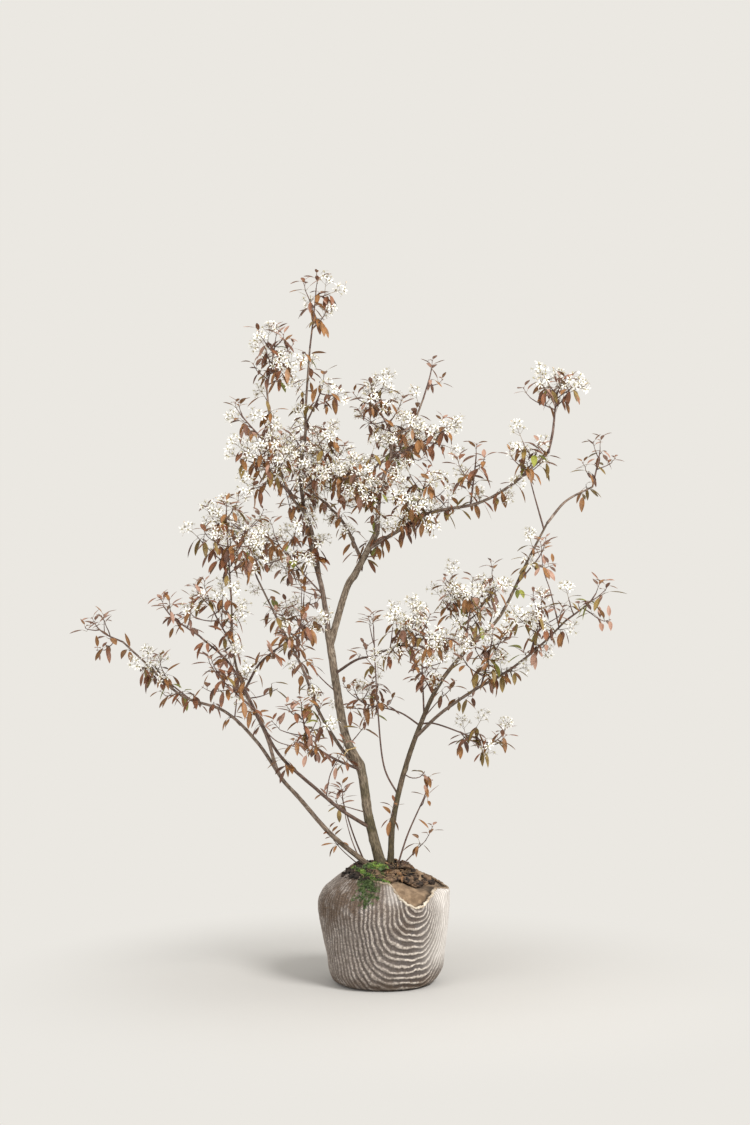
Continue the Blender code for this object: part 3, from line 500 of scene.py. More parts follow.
def path_length(points):
    """How long a path is."""
    return sum((there - here).length for here, there in zip(points, points[1:]))


class Pile:
    """Points and faces gathered for one piece, with a place on its leaf or petal for each point."""

    def __init__(self):
        self.points, self.faces, self.places, self.count = [], [], [], 0

    def add(self, points, faces, places=None):
        """More points, with faces that count them from 0."""
        self.points.append(np.asarray(points, float))
        self.faces.extend(tuple(corner + self.count for corner in face) for face in faces)
        self.places.append(np.zeros((len(points), 2)) if places is None else places)
        self.count += len(points)


piles = {}       # a piece's name to what is gathered for it
paths = {}       # a limb's name to its points


def pile(name):
    """The pile of a piece, begun when it is first asked for."""
    return piles.setdefault(name, Pile())


def crosswise(points):
    """Two directions across a path at each of its points, turning as little as they can."""
    directions = headings(points)
    across = directions[0].orthogonal().normalized()
    axes = []
    for direction in directions:
        across = (across - direction * across.dot(direction)).normalized()
        axes.append((across.copy(), direction.cross(across)))
    return axes


def ring_about(centre, across, other, radius, sides):
    """The corners of a round, given two directions across it."""
    turns = [math.tau * side / sides for side in range(sides)]
    return [centre + (across * math.cos(turn) + other * math.sin(turn)) * radius for turn in turns]


def ring_faces(rings, sides):
    """The faces between rings of corners that follow one another."""
    return [(ring * sides + side, ring * sides + (side + 1) % sides,
             (ring + 1) * sides + (side + 1) % sides, (ring + 1) * sides + side)
            for ring in range(rings - 1) for side in range(sides)]


def tip_faces(tip, sides):
    """The faces from the last ring to the corner after it."""
    first = tip - sides
    return [(first + side, first + (side + 1) % sides, tip) for side in range(sides)]


def foot_face(sides):
    """The face that closes the first ring."""
    return tuple(reversed(range(sides)))


def tube(target, points, radii, sides):
    """A closed round twig with a pointed end."""
    corners = []
    for point, (across, other), radius in zip(points, crosswise(points), radii):
        corners += ring_about(point, across, other, radius, sides)
    faces = [*ring_faces(len(points), sides), *tip_faces(len(corners), sides), foot_face(sides)]
    corners.append(points[-1] + headings(points)[-1] * radii[-1])
    target.add(corners, faces)


def frame_of(direction, upward):
    """Across, along and crest as the rows of a turn."""
    side = direction.cross(upward)
    side = side.normalized() if side.length > 1e-4 else direction.orthogonal().normalized()
    return np.array((side, direction, side.cross(direction)))


def blade(rows, half_width):
    """The outline of a leaf or petal: across and along from 0 to 1, with its faces and places."""
    points, places = [(0.0, 0.0)], [(0.5, 0.0)]
    for row in range(1, rows + 1):
        share = row / (rows + 1)
        for across in (-1, 0, 1):
            points.append((across * half_width(share), share))
            places.append((0.5 + across / 2, share))
    points.append((0.0, 1.0))
    places.append((0.5, 1.0))
    last = len(points) - 1
    faces = [(0, 2, 1), (0, 3, 2), (last, last - 3, last - 2), (last, last - 2, last - 1)]
    for row in range(rows - 1):
        here = 1 + 3 * row
        faces += [(here, here + 1, here + 4, here + 3), (here + 1, here + 2, here + 5, here + 4)]
    return np.array(points), faces, np.array(places)


LEAF_BLADE = blade(6, lambda share: math.sin(math.pi * share ** 0.90) ** 0.80)
PETAL_BLADE = blade(3, lambda share: 0.30 + 0.75 * math.sin(math.pi * share ** 1.35))


def lay_blade(target, shape, root, turned, length, width, fold, curl, twist=0.0):
    """One blade from its root. Fold lifts its edges and curl bends its end towards its back."""
    outline, faces, places = shape
    across, run = outline[:, 0] * width / 2, outline[:, 1] * length
    raised = np.abs(across) * fold - curl * outline[:, 1] ** 2 * length
    turn = twist * outline[:, 1]
    local = np.stack((across * np.cos(turn), run, raised + across * np.sin(turn)), axis=1)
    target.add(local @ turned + np.array(root), faces, places)


# Materials and pieces


def shader(name, roughness):
    """A new Principled material and its node tree."""
    made = bpy.data.materials.new(name)
    made.use_nodes = True
    made.node_tree.nodes["Principled BSDF"].inputs["Roughness"].default_value = roughness
    return made, made.node_tree


def node(tree, kind, inputs=(), **settings):
    """A node with its settings, and each of its inputs linked to a socket or set to a value."""
    made = tree.nodes.new(kind)
    for key, value in settings.items():
        setattr(made, key, value)
    for key, value in dict(inputs).items():
        if isinstance(value, bpy.types.NodeSocket):
            tree.links.new(value, made.inputs[key])
        else:
            made.inputs[key].default_value = value
    return made


def object_place(tree):
    """The point's place in the object."""
    return node(tree, "ShaderNodeTexCoord").outputs["Object"]


def blade_place(tree):
    """How far across and along its leaf or petal a point lies."""
    parts = node(tree, "ShaderNodeSeparateXYZ", {0: node(tree, "ShaderNodeUVMap").outputs[0]})
    return parts.outputs[0], parts.outputs[1]


def carried(tree, name, output="Fac"):
    """A value that the mesh carries at each of its points."""
    return node(tree, "ShaderNodeAttribute", attribute_name=name).outputs[output]


def grain(tree, scale, detail=4.0, source=None):
    """Noise from 0 to 1, about the object's own place unless a source is given."""
    inputs = {"Vector": source or object_place(tree), "Scale": scale, "Detail": detail}
    return node(tree, "ShaderNodeTexNoise", inputs).outputs[0]


def cells(tree, scale):
    """How far it is to the middle of the nearest cell."""
    inputs = {"Vector": object_place(tree), "Scale": scale}
    return node(tree, "ShaderNodeTexVoronoi", inputs).outputs[0]


def maths(tree, operation, first, second=0.0):
    """What an operation makes of one value or two."""
    return node(tree, "ShaderNodeMath", {0: first, 1: second}, operation=operation).outputs[0]


def times(tree, first, second):
    """Two values multiplied."""
    return maths(tree, "MULTIPLY", first, second)


def stepped(tree, value, low, high, least=0.0, most=1.0):
    """The value spread smoothly from between low and high."""
    inputs = {0: value, 1: low, 2: high, 3: least, 4: most}
    return node(tree, "ShaderNodeMapRange", inputs, interpolation_type="SMOOTHSTEP").outputs[0]


def spots(tree, low, high, scale, detail=4.0, source=None):
    """Soft spots of noise: 0 where it is below low, and 1 above high."""
    return stepped(tree, grain(tree, scale, detail, source), low, high)


def blended(tree, share, first, second):
    """The first colour where share is 0 and the second where it is 1, each a socket or a plain colour."""
    first, second = (colour if isinstance(colour, bpy.types.NodeSocket) else (*colour, 1)
                     for colour in (first, second))
    return node(tree, "ShaderNodeMix", {0: share, 6: first, 7: second}, data_type="RGBA").outputs[2]


def two_tones(tree, first, second, low, high, scale, detail=4.0):
    """Two colours, seen as 0 to 255, dealt out in soft spots."""
    return blended(tree, spots(tree, low, high, scale, detail), srgb(*first), srgb(*second))


def painted(made, colour, height=None, distance=0.0):
    """The material with its colour, and with bumps where a height is given."""
    tree = made.node_tree
    principled = tree.nodes["Principled BSDF"]
    tree.links.new(colour, principled.inputs["Base Color"])
    if height is not None:
        bump = node(tree, "ShaderNodeBump", {"Height": height, "Distance": distance, "Strength": 0.8})
        tree.links.new(bump.outputs[0], principled.inputs["Normal"])
    return made


def bark_material(name, pale, dark, patches, green):
    """Streaks along the limb, pale patches, breathing marks and a green tint low down."""
    made, tree = shader(name, 0.82)
    limb = carried(tree, "limb_place", "Vector")
    streaks = spots(tree, 0.36, 0.66, 420, 5.0, limb)
    colour = blended(tree, streaks, srgb(*dark), srgb(*pale))
    patch = times(tree, spots(tree, 0.56, 0.70, 55, 3.0), 0.55)
    colour = blended(tree, patch, colour, srgb(*patches))
    marks = times(tree, spots(tree, 0.70, 0.76, 900, 1.0, limb), 0.6)
    colour = blended(tree, marks, colour, srgb(196, 178, 150))
    height = node(tree, "ShaderNodeSeparateXYZ", {0: object_place(tree)}).outputs[2]
    low_down = times(tree, stepped(tree, height, 1.05, 0.42), spots(tree, 0.30, 0.62, 16, 2.0))
    at_foot = times(tree, stepped(tree, height, 0.66, 0.36), 0.80)
    tinted = times(tree, maths(tree, "MAXIMUM", low_down, at_foot), green)
    algae = blended(tree, streaks, srgb(50, 44, 27), srgb(84, 76, 46))
    colour = blended(tree, tinted, colour, algae)
    return painted(made, colour, times(tree, streaks, grain(tree, 1500, 2.0, limb)), 0.0010)


def leaf_material(name, colour, deep, vein, roughness=0.48):
    """Mottled from colour to deep, with a paler rib and side veins."""
    made, tree = shader(name, roughness)
    base = two_tones(tree, colour, deep, 0.35, 0.68, 60, 3.0)
    across, run = blade_place(tree)
    off_rib = maths(tree, "ABSOLUTE", maths(tree, "SUBTRACT", across, 0.5))
    rib = stepped(tree, off_rib, 0.055, 0.020)
    slanted = maths(tree, "SUBTRACT", run, times(tree, off_rib, 0.55))
    wave = maths(tree, "SINE", times(tree, slanted, 62.8))
    veins = times(tree, stepped(tree, wave, 0.80, 1.0), 0.45)
    drawn = maths(tree, "MAXIMUM", rib, veins)
    base = blended(tree, times(tree, drawn, 0.65), base, srgb(*vein))
    return painted(made, base, times(tree, drawn, -1.0), 0.0006)


def mottled_material(name, first, second, scale, roughness=0.7, bumps=0.0):
    """Two tones dealt out by noise, with fine bumps where their height isn't 0."""
    made, tree = shader(name, roughness)
    colour = two_tones(tree, first, second, 0.34, 0.66, scale)
    return painted(made, colour, grain(tree, scale * 3, 5.0) if bumps else None, bumps)


def petal_material():
    """White, a little creamy at the foot, with faint lengthwise veins."""
    made, tree = shader("petal", 0.55)
    across, run = blade_place(tree)
    foot = stepped(tree, run, 0.28, 0.02)
    colour = blended(tree, times(tree, foot, 0.8), (0.90, 0.89, 0.86), (0.70, 0.72, 0.50))
    wave = maths(tree, "SINE", times(tree, across, 44.0))
    veins = times(tree, stepped(tree, wave, 0.5, 1.0), 0.10)
    return painted(made, blended(tree, veins, colour, (0.72, 0.70, 0.66)))


def wrap_material():
    """Knitted jute: pale ribs, dark gaps painted as shade in the grooves, soil stains, and a bleached side.
    """
    made, tree = shader("knitted wrap", 0.95)
    ridge, hanging = carried(tree, "ridge"), carried(tree, "hanging")
    yarn = two_tones(tree, (136, 127, 119), (208, 198, 189), 0.40, 0.60, 330, 2.0)
    yarn = blended(tree, times(tree, hanging, 0.75), yarn, srgb(234, 224, 212))
    # The gaps between the ribs are painted shade, darker still on the hanging bows, where the yarn is also
    # lighter
    gap = two_tones(tree, (64, 58, 57), (116, 108, 104), 0.35, 0.65, 260, 3.0)
    gap = blended(tree, times(tree, hanging, 0.60), gap, srgb(54, 49, 50))
    colour = blended(tree, stepped(tree, ridge, 0.08, 0.76), gap, yarn)
    worn = times(tree, spots(tree, 0.34, 0.62, 13, 3.0), stepped(tree, hanging, 0.0, 1.0, 0.38, 0.12))
    colour = blended(tree, worn, colour, srgb(140, 130, 123))
    knots = times(tree, stepped(tree, cells(tree, 150.0), 0.45, 0.75), 0.55)
    colour = blended(tree, knots, colour, srgb(84, 75, 68))
    pale = blended(tree, stepped(tree, ridge, 0.05, 0.75), srgb(194, 188, 182), srgb(233, 229, 225))
    colour = blended(tree, carried(tree, "bleached"), colour, pale)
    soil = two_tones(tree, (60, 46, 36), (104, 84, 66), 0.35, 0.65, 300)
    stained = times(tree, carried(tree, "stain"), spots(tree, 0.32, 0.54, 28, 5.0))
    colour = blended(tree, times(tree, stained, 0.85), colour, soil)
    flecks = times(tree, spots(tree, 0.66, 0.74, 240, 3.0), 0.55)
    colour = blended(tree, flecks, colour, srgb(96, 72, 52))
    return painted(made, colour, times(tree, cells(tree, 330.0), grain(tree, 900, 5.0)), 0.0020)


def hem_material():
    """The rolled edge, cream where it is freshly torn and soiled all the way round."""
    made, tree = shader("torn edge", 0.92)
    soiled = two_tones(tree, (98, 78, 60), (140, 120, 98), 0.36, 0.64, 80)
    fresh = two_tones(tree, (226, 218, 202), (170, 150, 126), 0.40, 0.66, 60)
    return painted(made, blended(tree, carried(tree, "torn"), soiled, fresh), grain(tree, 700), 0.0015)


def soil_material():
    """Pale brown with grit, nearly black as painted shade under the clods and the cloth's edge, darker on the
    crown.
    """
    made, tree = shader("packed soil", 0.97)
    bare_soil = two_tones(tree, (112, 92, 72), (152, 129, 104), 0.34, 0.66, 45)
    grit = times(tree, spots(tree, 0.60, 0.72, 420, 3.0), 0.5)
    bare_soil = blended(tree, grit, bare_soil, srgb(84, 68, 54))
    # Painted shade: the gap under the clods and the band just below the cloth's edge turn nearly black, and
    # the crown is darkened about half way
    colour = blended(tree, carried(tree, "darkened"), bare_soil, srgb(22, 17, 14))
    return painted(made, colour, grain(tree, 160, 6.0), 0.004)


def mesh_piece(name, points, faces):
    """A new object with these points and faces."""
    mesh = bpy.data.meshes.new(name)
    mesh.from_pydata([tuple(point) for point in points], [], faces)
    piece = bpy.data.objects.new(name, mesh)
    bpy.context.scene.collection.objects.link(piece)
    return piece


def carry(piece, name, values, kind="FLOAT"):
    """Keep one value for each point on the mesh, for its material."""
    attribute = piece.data.attributes.new(name, kind, "POINT")
    field = "value" if kind == "FLOAT" else "vector"
    attribute.data.foreach_set(field, np.asarray(values, np.float32).ravel())


def finish_piece(piece, finish, nodes, smooth=True):
    """Give a piece its material and slot, and let it stand for solids of the model."""
    piece.data.materials.append(finish)
    if smooth:
        piece.data.shade_smooth()
    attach(piece, "root")
    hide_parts(*nodes)


def piece_of(name, finish, nodes, smooth=True):
    """Make the piece that the pile of this name was gathered for."""
    gathered = piles.pop(name)
    piece = mesh_piece(name, np.concatenate(gathered.points), gathered.faces)
    places = np.concatenate(gathered.places)
    corners = np.zeros(len(piece.data.loops), int)
    piece.data.loops.foreach_get("vertex_index", corners)
    layer = piece.data.uv_layers.new(name="UVMap")
    layer.data.foreach_set("uv", places[corners].astype(np.float32).ravel())
    finish_piece(piece, finish, nodes, smooth)


# Limbs with their bark


def beginning(parent, leaves_at):
    """Where a limb or a mass's stem begins: on the ball, at its parent's tip or in its side."""
    if leaves_at is None:
        return paths[parent][-1]
    if parent in paths:
        return at_height(paths[parent], leaves_at)
    return Vector((*leaves_at, BALL_CROWN - FOOT_SUNK))


def limb_radius(limb, share, distance):
    """The limb's plain round: tapered, slimmer at a fine tip than in the solid, and flared at the ball."""
    radius = limb.foot + (limb.end - limb.foot) * share ** TAPER
    if limb.end < FINE_END:
        radius *= 1 + (TIP_SLIM - 1) * share ** 2
    if limb.parent is None:
        radius *= 1 + FLARE * math.exp(-distance / FLARE_HEIGHT)
    return radius


def bark_relief(limb, point, turn, distance, radius):
    """How far the bark stands off the limb's plain round: ridges, ring scars and knots."""
    where = Vector((math.cos(turn) * radius, math.sin(turn) * radius, distance / 6))
    coarse = 0.075 * noise.noise(where * 190 + Vector((limb.foot * 900, 3, 1)))
    fine = 0.045 * noise.noise(where * 520)
    ring = 0.05 * bell(noise.noise(Vector((distance * 34, limb.foot * 777, 0))), 0.42, 0.10)
    relief = (coarse + fine + ring) * radius
    for name, height, knot_turn, high, wide in KNOTS:
        if name == limb.name and abs(point.z - height) < 3 * wide:
            off = angle_from(math.radians(knot_turn), turn)
            relief += high * bell(point.z, height, wide) * bell(off, 0, 0.75)
    return relief


def add_bark(limb, finish):
    """One limb along its path, with its bark's relief and a blunt end."""
    start = beginning(limb.parent, limb.leaves_at)
    given = [start, *(Vector(bend) for bend in limb.bends), Vector(limb.tip)]
    if limb.parent is None:
        given.insert(1, start.lerp(given[1], STRAIGHT_FOOT))
    points = evenly(smooth_curve(given), BARK_STEP)
    paths[limb.name] = points
    sides = THICK_SIDES if limb.foot > THICK_FOOT else THIN_SIDES
    length = path_length(points)
    corners, limb_places = [], []
    for number, (point, direction) in enumerate(zip(points, headings(points))):
        share = number / (len(points) - 1)
        distance = share * length
        radius = limb_radius(limb, share, distance)
        across = (Vector((1, 0, 0)) - direction * direction.x).normalized()
        other = direction.cross(across)
        for side in range(sides):
            turn = math.tau * side / sides
            outward = across * math.cos(turn) + other * math.sin(turn)
            corners.append(point + outward * (radius + bark_relief(limb, point, turn, distance, radius)))
            limb_places.append((math.cos(turn) * radius, math.sin(turn) * radius, distance / STREAK))
    faces = [*ring_faces(len(points), sides), foot_face(sides), *tip_faces(len(corners), sides)]
    corners.append(points[-1] + headings(points)[-1] * radius * 0.7)
    limb_places.append((0, 0, length / STREAK))
    piece = mesh_piece(f"{limb.name}_bark", corners, faces)
    carry(piece, "limb_place", limb_places, "FLOAT_VECTOR")
    finish_piece(piece, finish, [limb.name])


def add_bud(target, root, direction, size):
    """A small pointed bud of overlapping scales."""
    turned = frame_of(direction, direction.orthogonal())
    corners = [(radius * size * 0.5 * math.cos(math.tau * side / BUD_SIDES), height * size,
                radius * size * 0.5 * math.sin(math.tau * side / BUD_SIDES))
               for height, radius in BUD_OUTLINE for side in range(BUD_SIDES)]
    faces = ring_faces(len(BUD_OUTLINE), BUD_SIDES) + tip_faces(len(corners), BUD_SIDES)
    corners.append((0, size, 0))
    target.add(np.array(corners) @ turned + np.array(root), faces)


# Foliage


def depth_in(point, mass):
    """0 at the middle of a mass's space and 1 at its edge."""
    return Vector([(point[axis] - mass.centre[axis]) / mass.reach[axis] for axis in range(3)]).length


def way_out(start, direction, mass):
    """How far it is from a point to the edge of the mass's space."""
    low, high = 0.0, 2 * max(mass.reach)
    for _ in range(12):
        middle = (low + high) / 2
        if depth_in(start + direction * middle, mass) < 1:
            low = middle
        else:
            high = middle
    return low


def stem_of(mass):
    """The path of the stem that carries a mass, from its limb to well past the middle of its space."""
    given = [beginning(mass.parent, mass.leaves_at), *(Vector(bend) for bend in mass.bends)]
    centre = Vector(mass.centre)
    onward = (centre - given[-1]).normalized()
    tip = centre + (onward + UP * STEM_RISE).normalized() * min(mass.reach) * STEM_REACH
    if (centre - given[-1]).length > STEM_BEND_FROM:
        given.append(centre)
    return evenly(smooth_curve([*given, tip]), STEM_STEP)


def twig_from(base, heading, turn, mass, draw):
    """A side twig that leaves its stem at an angle, wavers, and turns up towards the light."""
    rising = UP * draw.uniform(*TWIG_RISE)
    direction = (heading * TWIG_ONWARD + around(heading, turn) + rising).normalized()
    length = way_out(base, direction, mass) * draw.uniform(*TWIG_REACH)
    length = min(LONGEST_TWIG, max(SHORTEST_TWIG, length))
    waver = Vector([draw.uniform(-0.10, 0.10) for _ in range(3)])
    first = base + (direction + waver).normalized() * length * 0.35
    second = first + (direction + UP * TWIG_CURL / 2 - waver).normalized() * length * 0.35
    third = second + (direction + UP * TWIG_CURL).normalized() * length * 0.30
    return evenly(smooth_curve([base, first, second, third]), TWIG_STEP)


def taper_of(count, foot, end):
    """Radii that fall evenly from foot to end."""
    return [foot + (end - foot) * number / (count - 1) for number in range(count)]


def tip_leaf_kind(draw):
    """The colour of a leaf at a shoot's end, where most are rosy."""
    return draw.choices(("rose", "copper", "red"), (6, 3, 2))[0]


def leaf_kind(root, draw):
    """The colour of a leaf elsewhere, greener towards the right."""
    green = 0.6 + 1.6 * ramp(root.x, 0.05, 0.45)
    return draw.choices(("copper", "red", "maroon", "olive", "green", "rose"),
                        (7, 4.2, 2.8, 3.4 * green, 0.6 * green, 1.2))[0]


def add_leaf(root, outward, rise, size, kind, draw):
    """A stalk that leaves the twig and a folded blade that follows it."""
    direction = (outward + UP * rise).normalized()
    stalk = size * draw.uniform(0.20, 0.34)
    knee = root + (direction + UP * 0.35).normalized() * stalk
    tube(pile("stalks"), [root, knee], [0.0007, 0.0005], 3)
    hang = (direction - UP * draw.uniform(0.0, 0.25)).normalized()
    turned = frame_of(hang, UP + outward * 0.3)
    width = size * draw.uniform(*LEAF_SLIM) * (1.25 if kind == "green" else 1.0)
    lay_blade(pile(f"{kind}_leaves"), LEAF_BLADE, knee, turned, size, width, draw.uniform(0.12, 0.50),
              draw.uniform(0.02, 0.20), draw.uniform(-0.5, 0.5))


def add_leaves(points, counts, rises, draw):
    """Leaves round the end part of a spur or twig, about half of them of one colour."""
    count = draw.randint(*counts)
    turn = draw.uniform(0, math.tau)
    kind = leaf_kind(points[-1], draw)
    for number in range(count):
        turn += GOLDEN_TURN
        root, heading = along(points, 1 - 0.8 * number / count)
        outward = around(heading, turn)
        outward = Vector((outward.x, outward.y, outward.z * 0.4)).normalized()
        own = kind if draw.random() < 0.55 else leaf_kind(root, draw)
        add_leaf(root, outward, draw.uniform(*rises), draw.uniform(*LEAF_LENGTH), own, draw)


def add_flower(heart, facing, draw, side):
    """Five spreading petals round a greenish cup with its stamens, in front of a ring of sepals."""
    turn = draw.uniform(0, math.tau)
    size = draw.uniform(0.86, 1.10)
    spread = draw.uniform(0.05, 0.55)
    for number in range(PETALS):
        outward = around(facing, turn + math.tau * number / PETALS + draw.uniform(-0.12, 0.12))
        direction = (outward + facing * spread).normalized()
        lay_blade(pile(f"petals_{side}"), PETAL_BLADE, heart + outward * 0.0012,
                  frame_of(direction, facing), PETAL_LENGTH * size * draw.uniform(0.92, 1.06),
                  PETAL_WIDTH * size, 0.22, draw.uniform(0.0, 0.35), draw.uniform(-0.5, 0.5))
    rim = [heart + around(facing, turn + math.tau * place / STAMENS) * 0.0019 for place in range(STAMENS)]
    edges = [(place, (place + 1) % STAMENS) for place in range(STAMENS)]
    hearts = pile("flower_hearts")
    hearts.add([*rim, heart + facing * 0.0016, heart - facing * 0.0030],
               [(here, there, STAMENS) for here, there in edges]
               + [(there, here, STAMENS + 1) for here, there in edges])
    for number in range(STAMENS):
        lean = around(facing, turn + math.tau * (number + 0.5) / STAMENS)
        foot, end = heart + lean * 0.0010, heart + lean * 0.0030 + facing * 0.0042
        across = lean.cross(facing) * 0.00035
        hearts.add([foot - across, foot + across, end + across * 1.6, end - across * 1.6], [(0, 1, 2, 3)])
    for number in range(PETALS):
        lean = around(facing, turn + math.tau * (number + 0.5) / PETALS)
        across = lean.cross(facing) * 0.0009
        root = heart - facing * 0.0012
        pile("sepals").add([root - across, root + across, root + lean * 0.0044 - facing * 0.0012],
                           [(0, 1, 2)])


def add_raceme(base, heading, draw, side):
    """A rising or nodding stalk with flowers on thin pedicels all round it and often a bud at its end."""
    length = draw.uniform(*RACEME_LENGTH)
    lean = Vector((draw.uniform(-RACEME_LEAN, RACEME_LEAN), draw.uniform(-RACEME_LEAN, RACEME_LEAN),
                   draw.uniform(*RACEME_RISE)))
    middle = base + (heading + lean * 0.4).normalized() * length * 0.5
    end = middle + (heading + lean).normalized() * length * 0.5
    axis = evenly(smooth_curve([base, middle, end]), RACEME_STEP)
    tube(pile("stalks"), axis, taper_of(len(axis), 0.0009, 0.0006), 4)
    count = draw.randint(*FLOWERS)
    turn = draw.uniform(0, math.tau)
    for number in range(count):
        turn += GOLDEN_TURN
        root, along_axis = along(axis, 0.25 + 0.75 * (number + 0.5) / count)
        outward = (around(along_axis, turn) + along_axis * 0.55 + UP * 0.25).normalized()
        heart = root + outward * draw.uniform(*PEDICEL) * (1.15 - 0.35 * number / count)
        tube(pile("stalks"), [root, root.lerp(heart, 0.55) - UP * 0.0006, heart - outward * 0.002],
             [0.0005, 0.0004, 0.0005], 3)
        if number == count - 1 and draw.random() < 0.6:
            add_bud(pile("flower_buds"), heart - outward * 0.002, outward, 0.0075)
        else:
            add_flower(heart, (outward + UP * 0.15).normalized(), draw, side)


def add_spur(root, heading, turn, flowering, draw, side):
    """A short side shoot that ends in blossom with leaves hanging below it, or in leaves alone."""
    direction = (around(heading, turn) + heading * 0.35 + UP * 0.30).normalized()
    length = draw.uniform(*SPUR_LENGTH)
    points = [root, root + direction * length * 0.5, root + (direction + UP * 0.2).normalized() * length]
    tube(pile("twigs"), points, taper_of(3, SPUR_RADIUS * 1.25, SPUR_RADIUS * 0.8), 5)
    add_bud(pile("twig_buds"), root, direction, 0.0042)
    end = headings(points)[-1]
    if flowering:
        add_raceme(points[-1], end, draw, side)
        add_leaves(points, LEAVES_BELOW, HANGING, draw)
    else:
        add_leaves(points, LEAVES_ALONE, SPREADING, draw)


def add_shoot(shoot, draw):
    """A thin shoot with its few leafy spurs, and a leafy tip where it is long."""
    start = beginning(shoot.parent, shoot.leaves_at)
    points = evenly(smooth_curve([start, *(Vector(bend) for bend in shoot.bends)]), TWIG_STEP)
    tube(pile("twigs"), points, taper_of(len(points), 0.0022, 0.0011), 6)
    turn = draw.uniform(0, math.tau)
    for number in range(shoot.spurs):
        turn += GOLDEN_TURN
        root, heading = along(points, 1 - 0.32 * (number + 0.6) / shoot.spurs)
        add_spur(root, heading, turn, False, draw, side_of(root.x))
    if path_length(points) > 0.10:
        add_tip(points, draw)


def add_tip(points, draw, room=1.0):
    """The end of a growing shoot: a bare run with small spreading leaves, two by two at the very end."""
    heading = headings(points)[-1]
    length = min(draw.uniform(*TIP_LENGTH), max(TIP_SHORTEST, room * 0.7))
    end = points[-1] + (heading + UP * 0.6).normalized() * length
    run = [points[-1], points[-1].lerp(end, 0.5) + Vector((draw.uniform(-1, 1), 0, 0)) * 0.003, end]
    tube(pile("twigs"), run, taper_of(3, TWIG_TIP, 0.0008), 5)
    turn = draw.uniform(0, math.tau)
    up = headings(run)[-1]
    for number in range(draw.randint(2, 3)):
        root = end - up * 0.014 * number
        for half in (0, math.pi):
            outward = around(up, turn + half)
            rise, size = draw.uniform(0.25, 0.9), draw.uniform(*TIP_LEAF) * (1 + 0.15 * number)
            add_leaf(root, outward, rise, size, tip_leaf_kind(draw), draw)
        turn += math.pi / 2
    add_bud(pile("twig_buds"), end, up, 0.0060)


def side_of(x):
    """The piece of petals that a flower joins."""
    return "left" if x < MIDDLE else "right"


def dress(points, first, skip, bloom, number, side, draw):
    """Spurs along a path by the golden angle, from a first distance on. Their number counts on."""
    length = path_length(points)
    turn = draw.uniform(0, math.tau)
    distance = first
    while distance < length - LAST_SPUR:
        turn += GOLDEN_TURN
        if draw.random() >= skip:
            root, heading = along(points, distance / length)
            flowering = int(bloom * (number + 1)) - int(bloom * number)
            add_spur(root, heading, turn, flowering, draw, side)
            number += 1
        distance += SPUR_STEP * draw.uniform(0.8, 1.25)
    return number


def dress_limb(name, draw):
    """Spurs along the outer part of a limb."""
    start, skip, bloom = DRESSED[name]
    points = paths[name]
    dress(points, start * path_length(points), skip, bloom, 0, side_of(points[-1].x), draw)


def grow(mass, draw):
    """The stem of a mass, its twigs, and the spurs and ends that they carry."""
    side = side_of(mass.centre[0])
    across, through, high = mass.reach
    mass = mass._replace(centre=[middle + moved for middle, moved in zip(mass.centre, mass.shift)],
                         reach=(across * mass.wide, through * mass.wide, high * mass.tall))
    stem = stem_of(mass)
    tube(pile("twigs"), stem, taper_of(len(stem), STEM_FOOT, STEM_TIP), 6)
    entering = next((place / (len(stem) - 1) for place, point in enumerate(stem)
                     if depth_in(point, mass) < FIRST_TWIG_DEPTH), 0.5)
    turn = draw.uniform(0, math.tau)
    first = max(FIRST_SPUR, entering * path_length(stem))
    spurs = dress(stem, first, mass.skip, mass.bloom, 0, side, draw)
    ends = [stem]
    for place in range(mass.twigs):
        turn += GOLDEN_TURN
        base, heading = along(stem, entering + (LAST_TWIG - entering) * (place + 0.5) / mass.twigs)
        points = twig_from(base, heading, turn, mass, draw)
        tube(pile("twigs"), points, taper_of(len(points), TWIG_FOOT, TWIG_TIP), 5)
        spurs = dress(points, FIRST_SPUR, mass.skip, mass.bloom, spurs, side, draw)
        ends.append(points)
    for place, points in enumerate(ends):
        heading = headings(points)[-1]
        if place == 0 or draw.random() > mass.bloom:
            add_tip(points, draw, way_out(points[-1], heading, mass))
        else:
            add_raceme(points[-1], heading, draw, side)
            add_leaves(points[-3:], LEAVES_BELOW, HANGING, draw)


# The root ball's cloth, soil and moss


def ball_radius(turn, height, radius):
    """The wrapped ball is round, with lumps, a slumped shoulder, a tear and a corner of cloth."""
    inside = min(height, BALL_CROWN - height) / BALL_CROWN
    lumps = LUMP * math.sin(3 * turn + 1.0) + LUMP * math.sin(5 * turn + 22 * height)
    slump = SLUMP_DEPTH * bell(turn, SLUMP_TURN, SLUMP_SPREAD) * ramp(height, SLUMP_FROM, SLUMP_TO)
    tear = TEAR_DEPTH * bell(turn, TEAR_TURN, TEAR_SPREAD) * bell(height, TEAR_HEIGHT, TEAR_TALL)
    corner = bell(turn, CORNER_TURN, CORNER_SPREAD) * bell(height, CORNER_HEIGHT, CORNER_TALL)
    return radius + lumps * min(1.0, 8 * inside) - slump - tear + CORNER_OUT * corner


ball_curve = evenly(smooth_curve([Vector((radius, 0, height)) for height, radius in BALL_OUTLINE]), 0.002)


def cloth_edge(turn):
    """The height of the cloth's upper edge."""
    degrees = math.degrees(turn)
    for (here_at, low), (there_at, high) in zip(CLOTH_EDGE, CLOTH_EDGE[1:]):
        if here_at <= degrees <= there_at:
            return low + (high - low) * ramp(degrees, here_at, there_at)
    return CLOTH_EDGE[0][1]


def on_cloth(turn, share, edge):
    """A place on the cloth at a share of the way from the ball's foot up to the edge."""
    top = next(place for place, point in enumerate(ball_curve) if point.z >= edge)
    exact = share * top
    place = min(int(exact), len(ball_curve) - 2)
    point = ball_curve[place].lerp(ball_curve[place + 1], exact - place)
    return ball_radius(turn, point.z, point.x), point.z


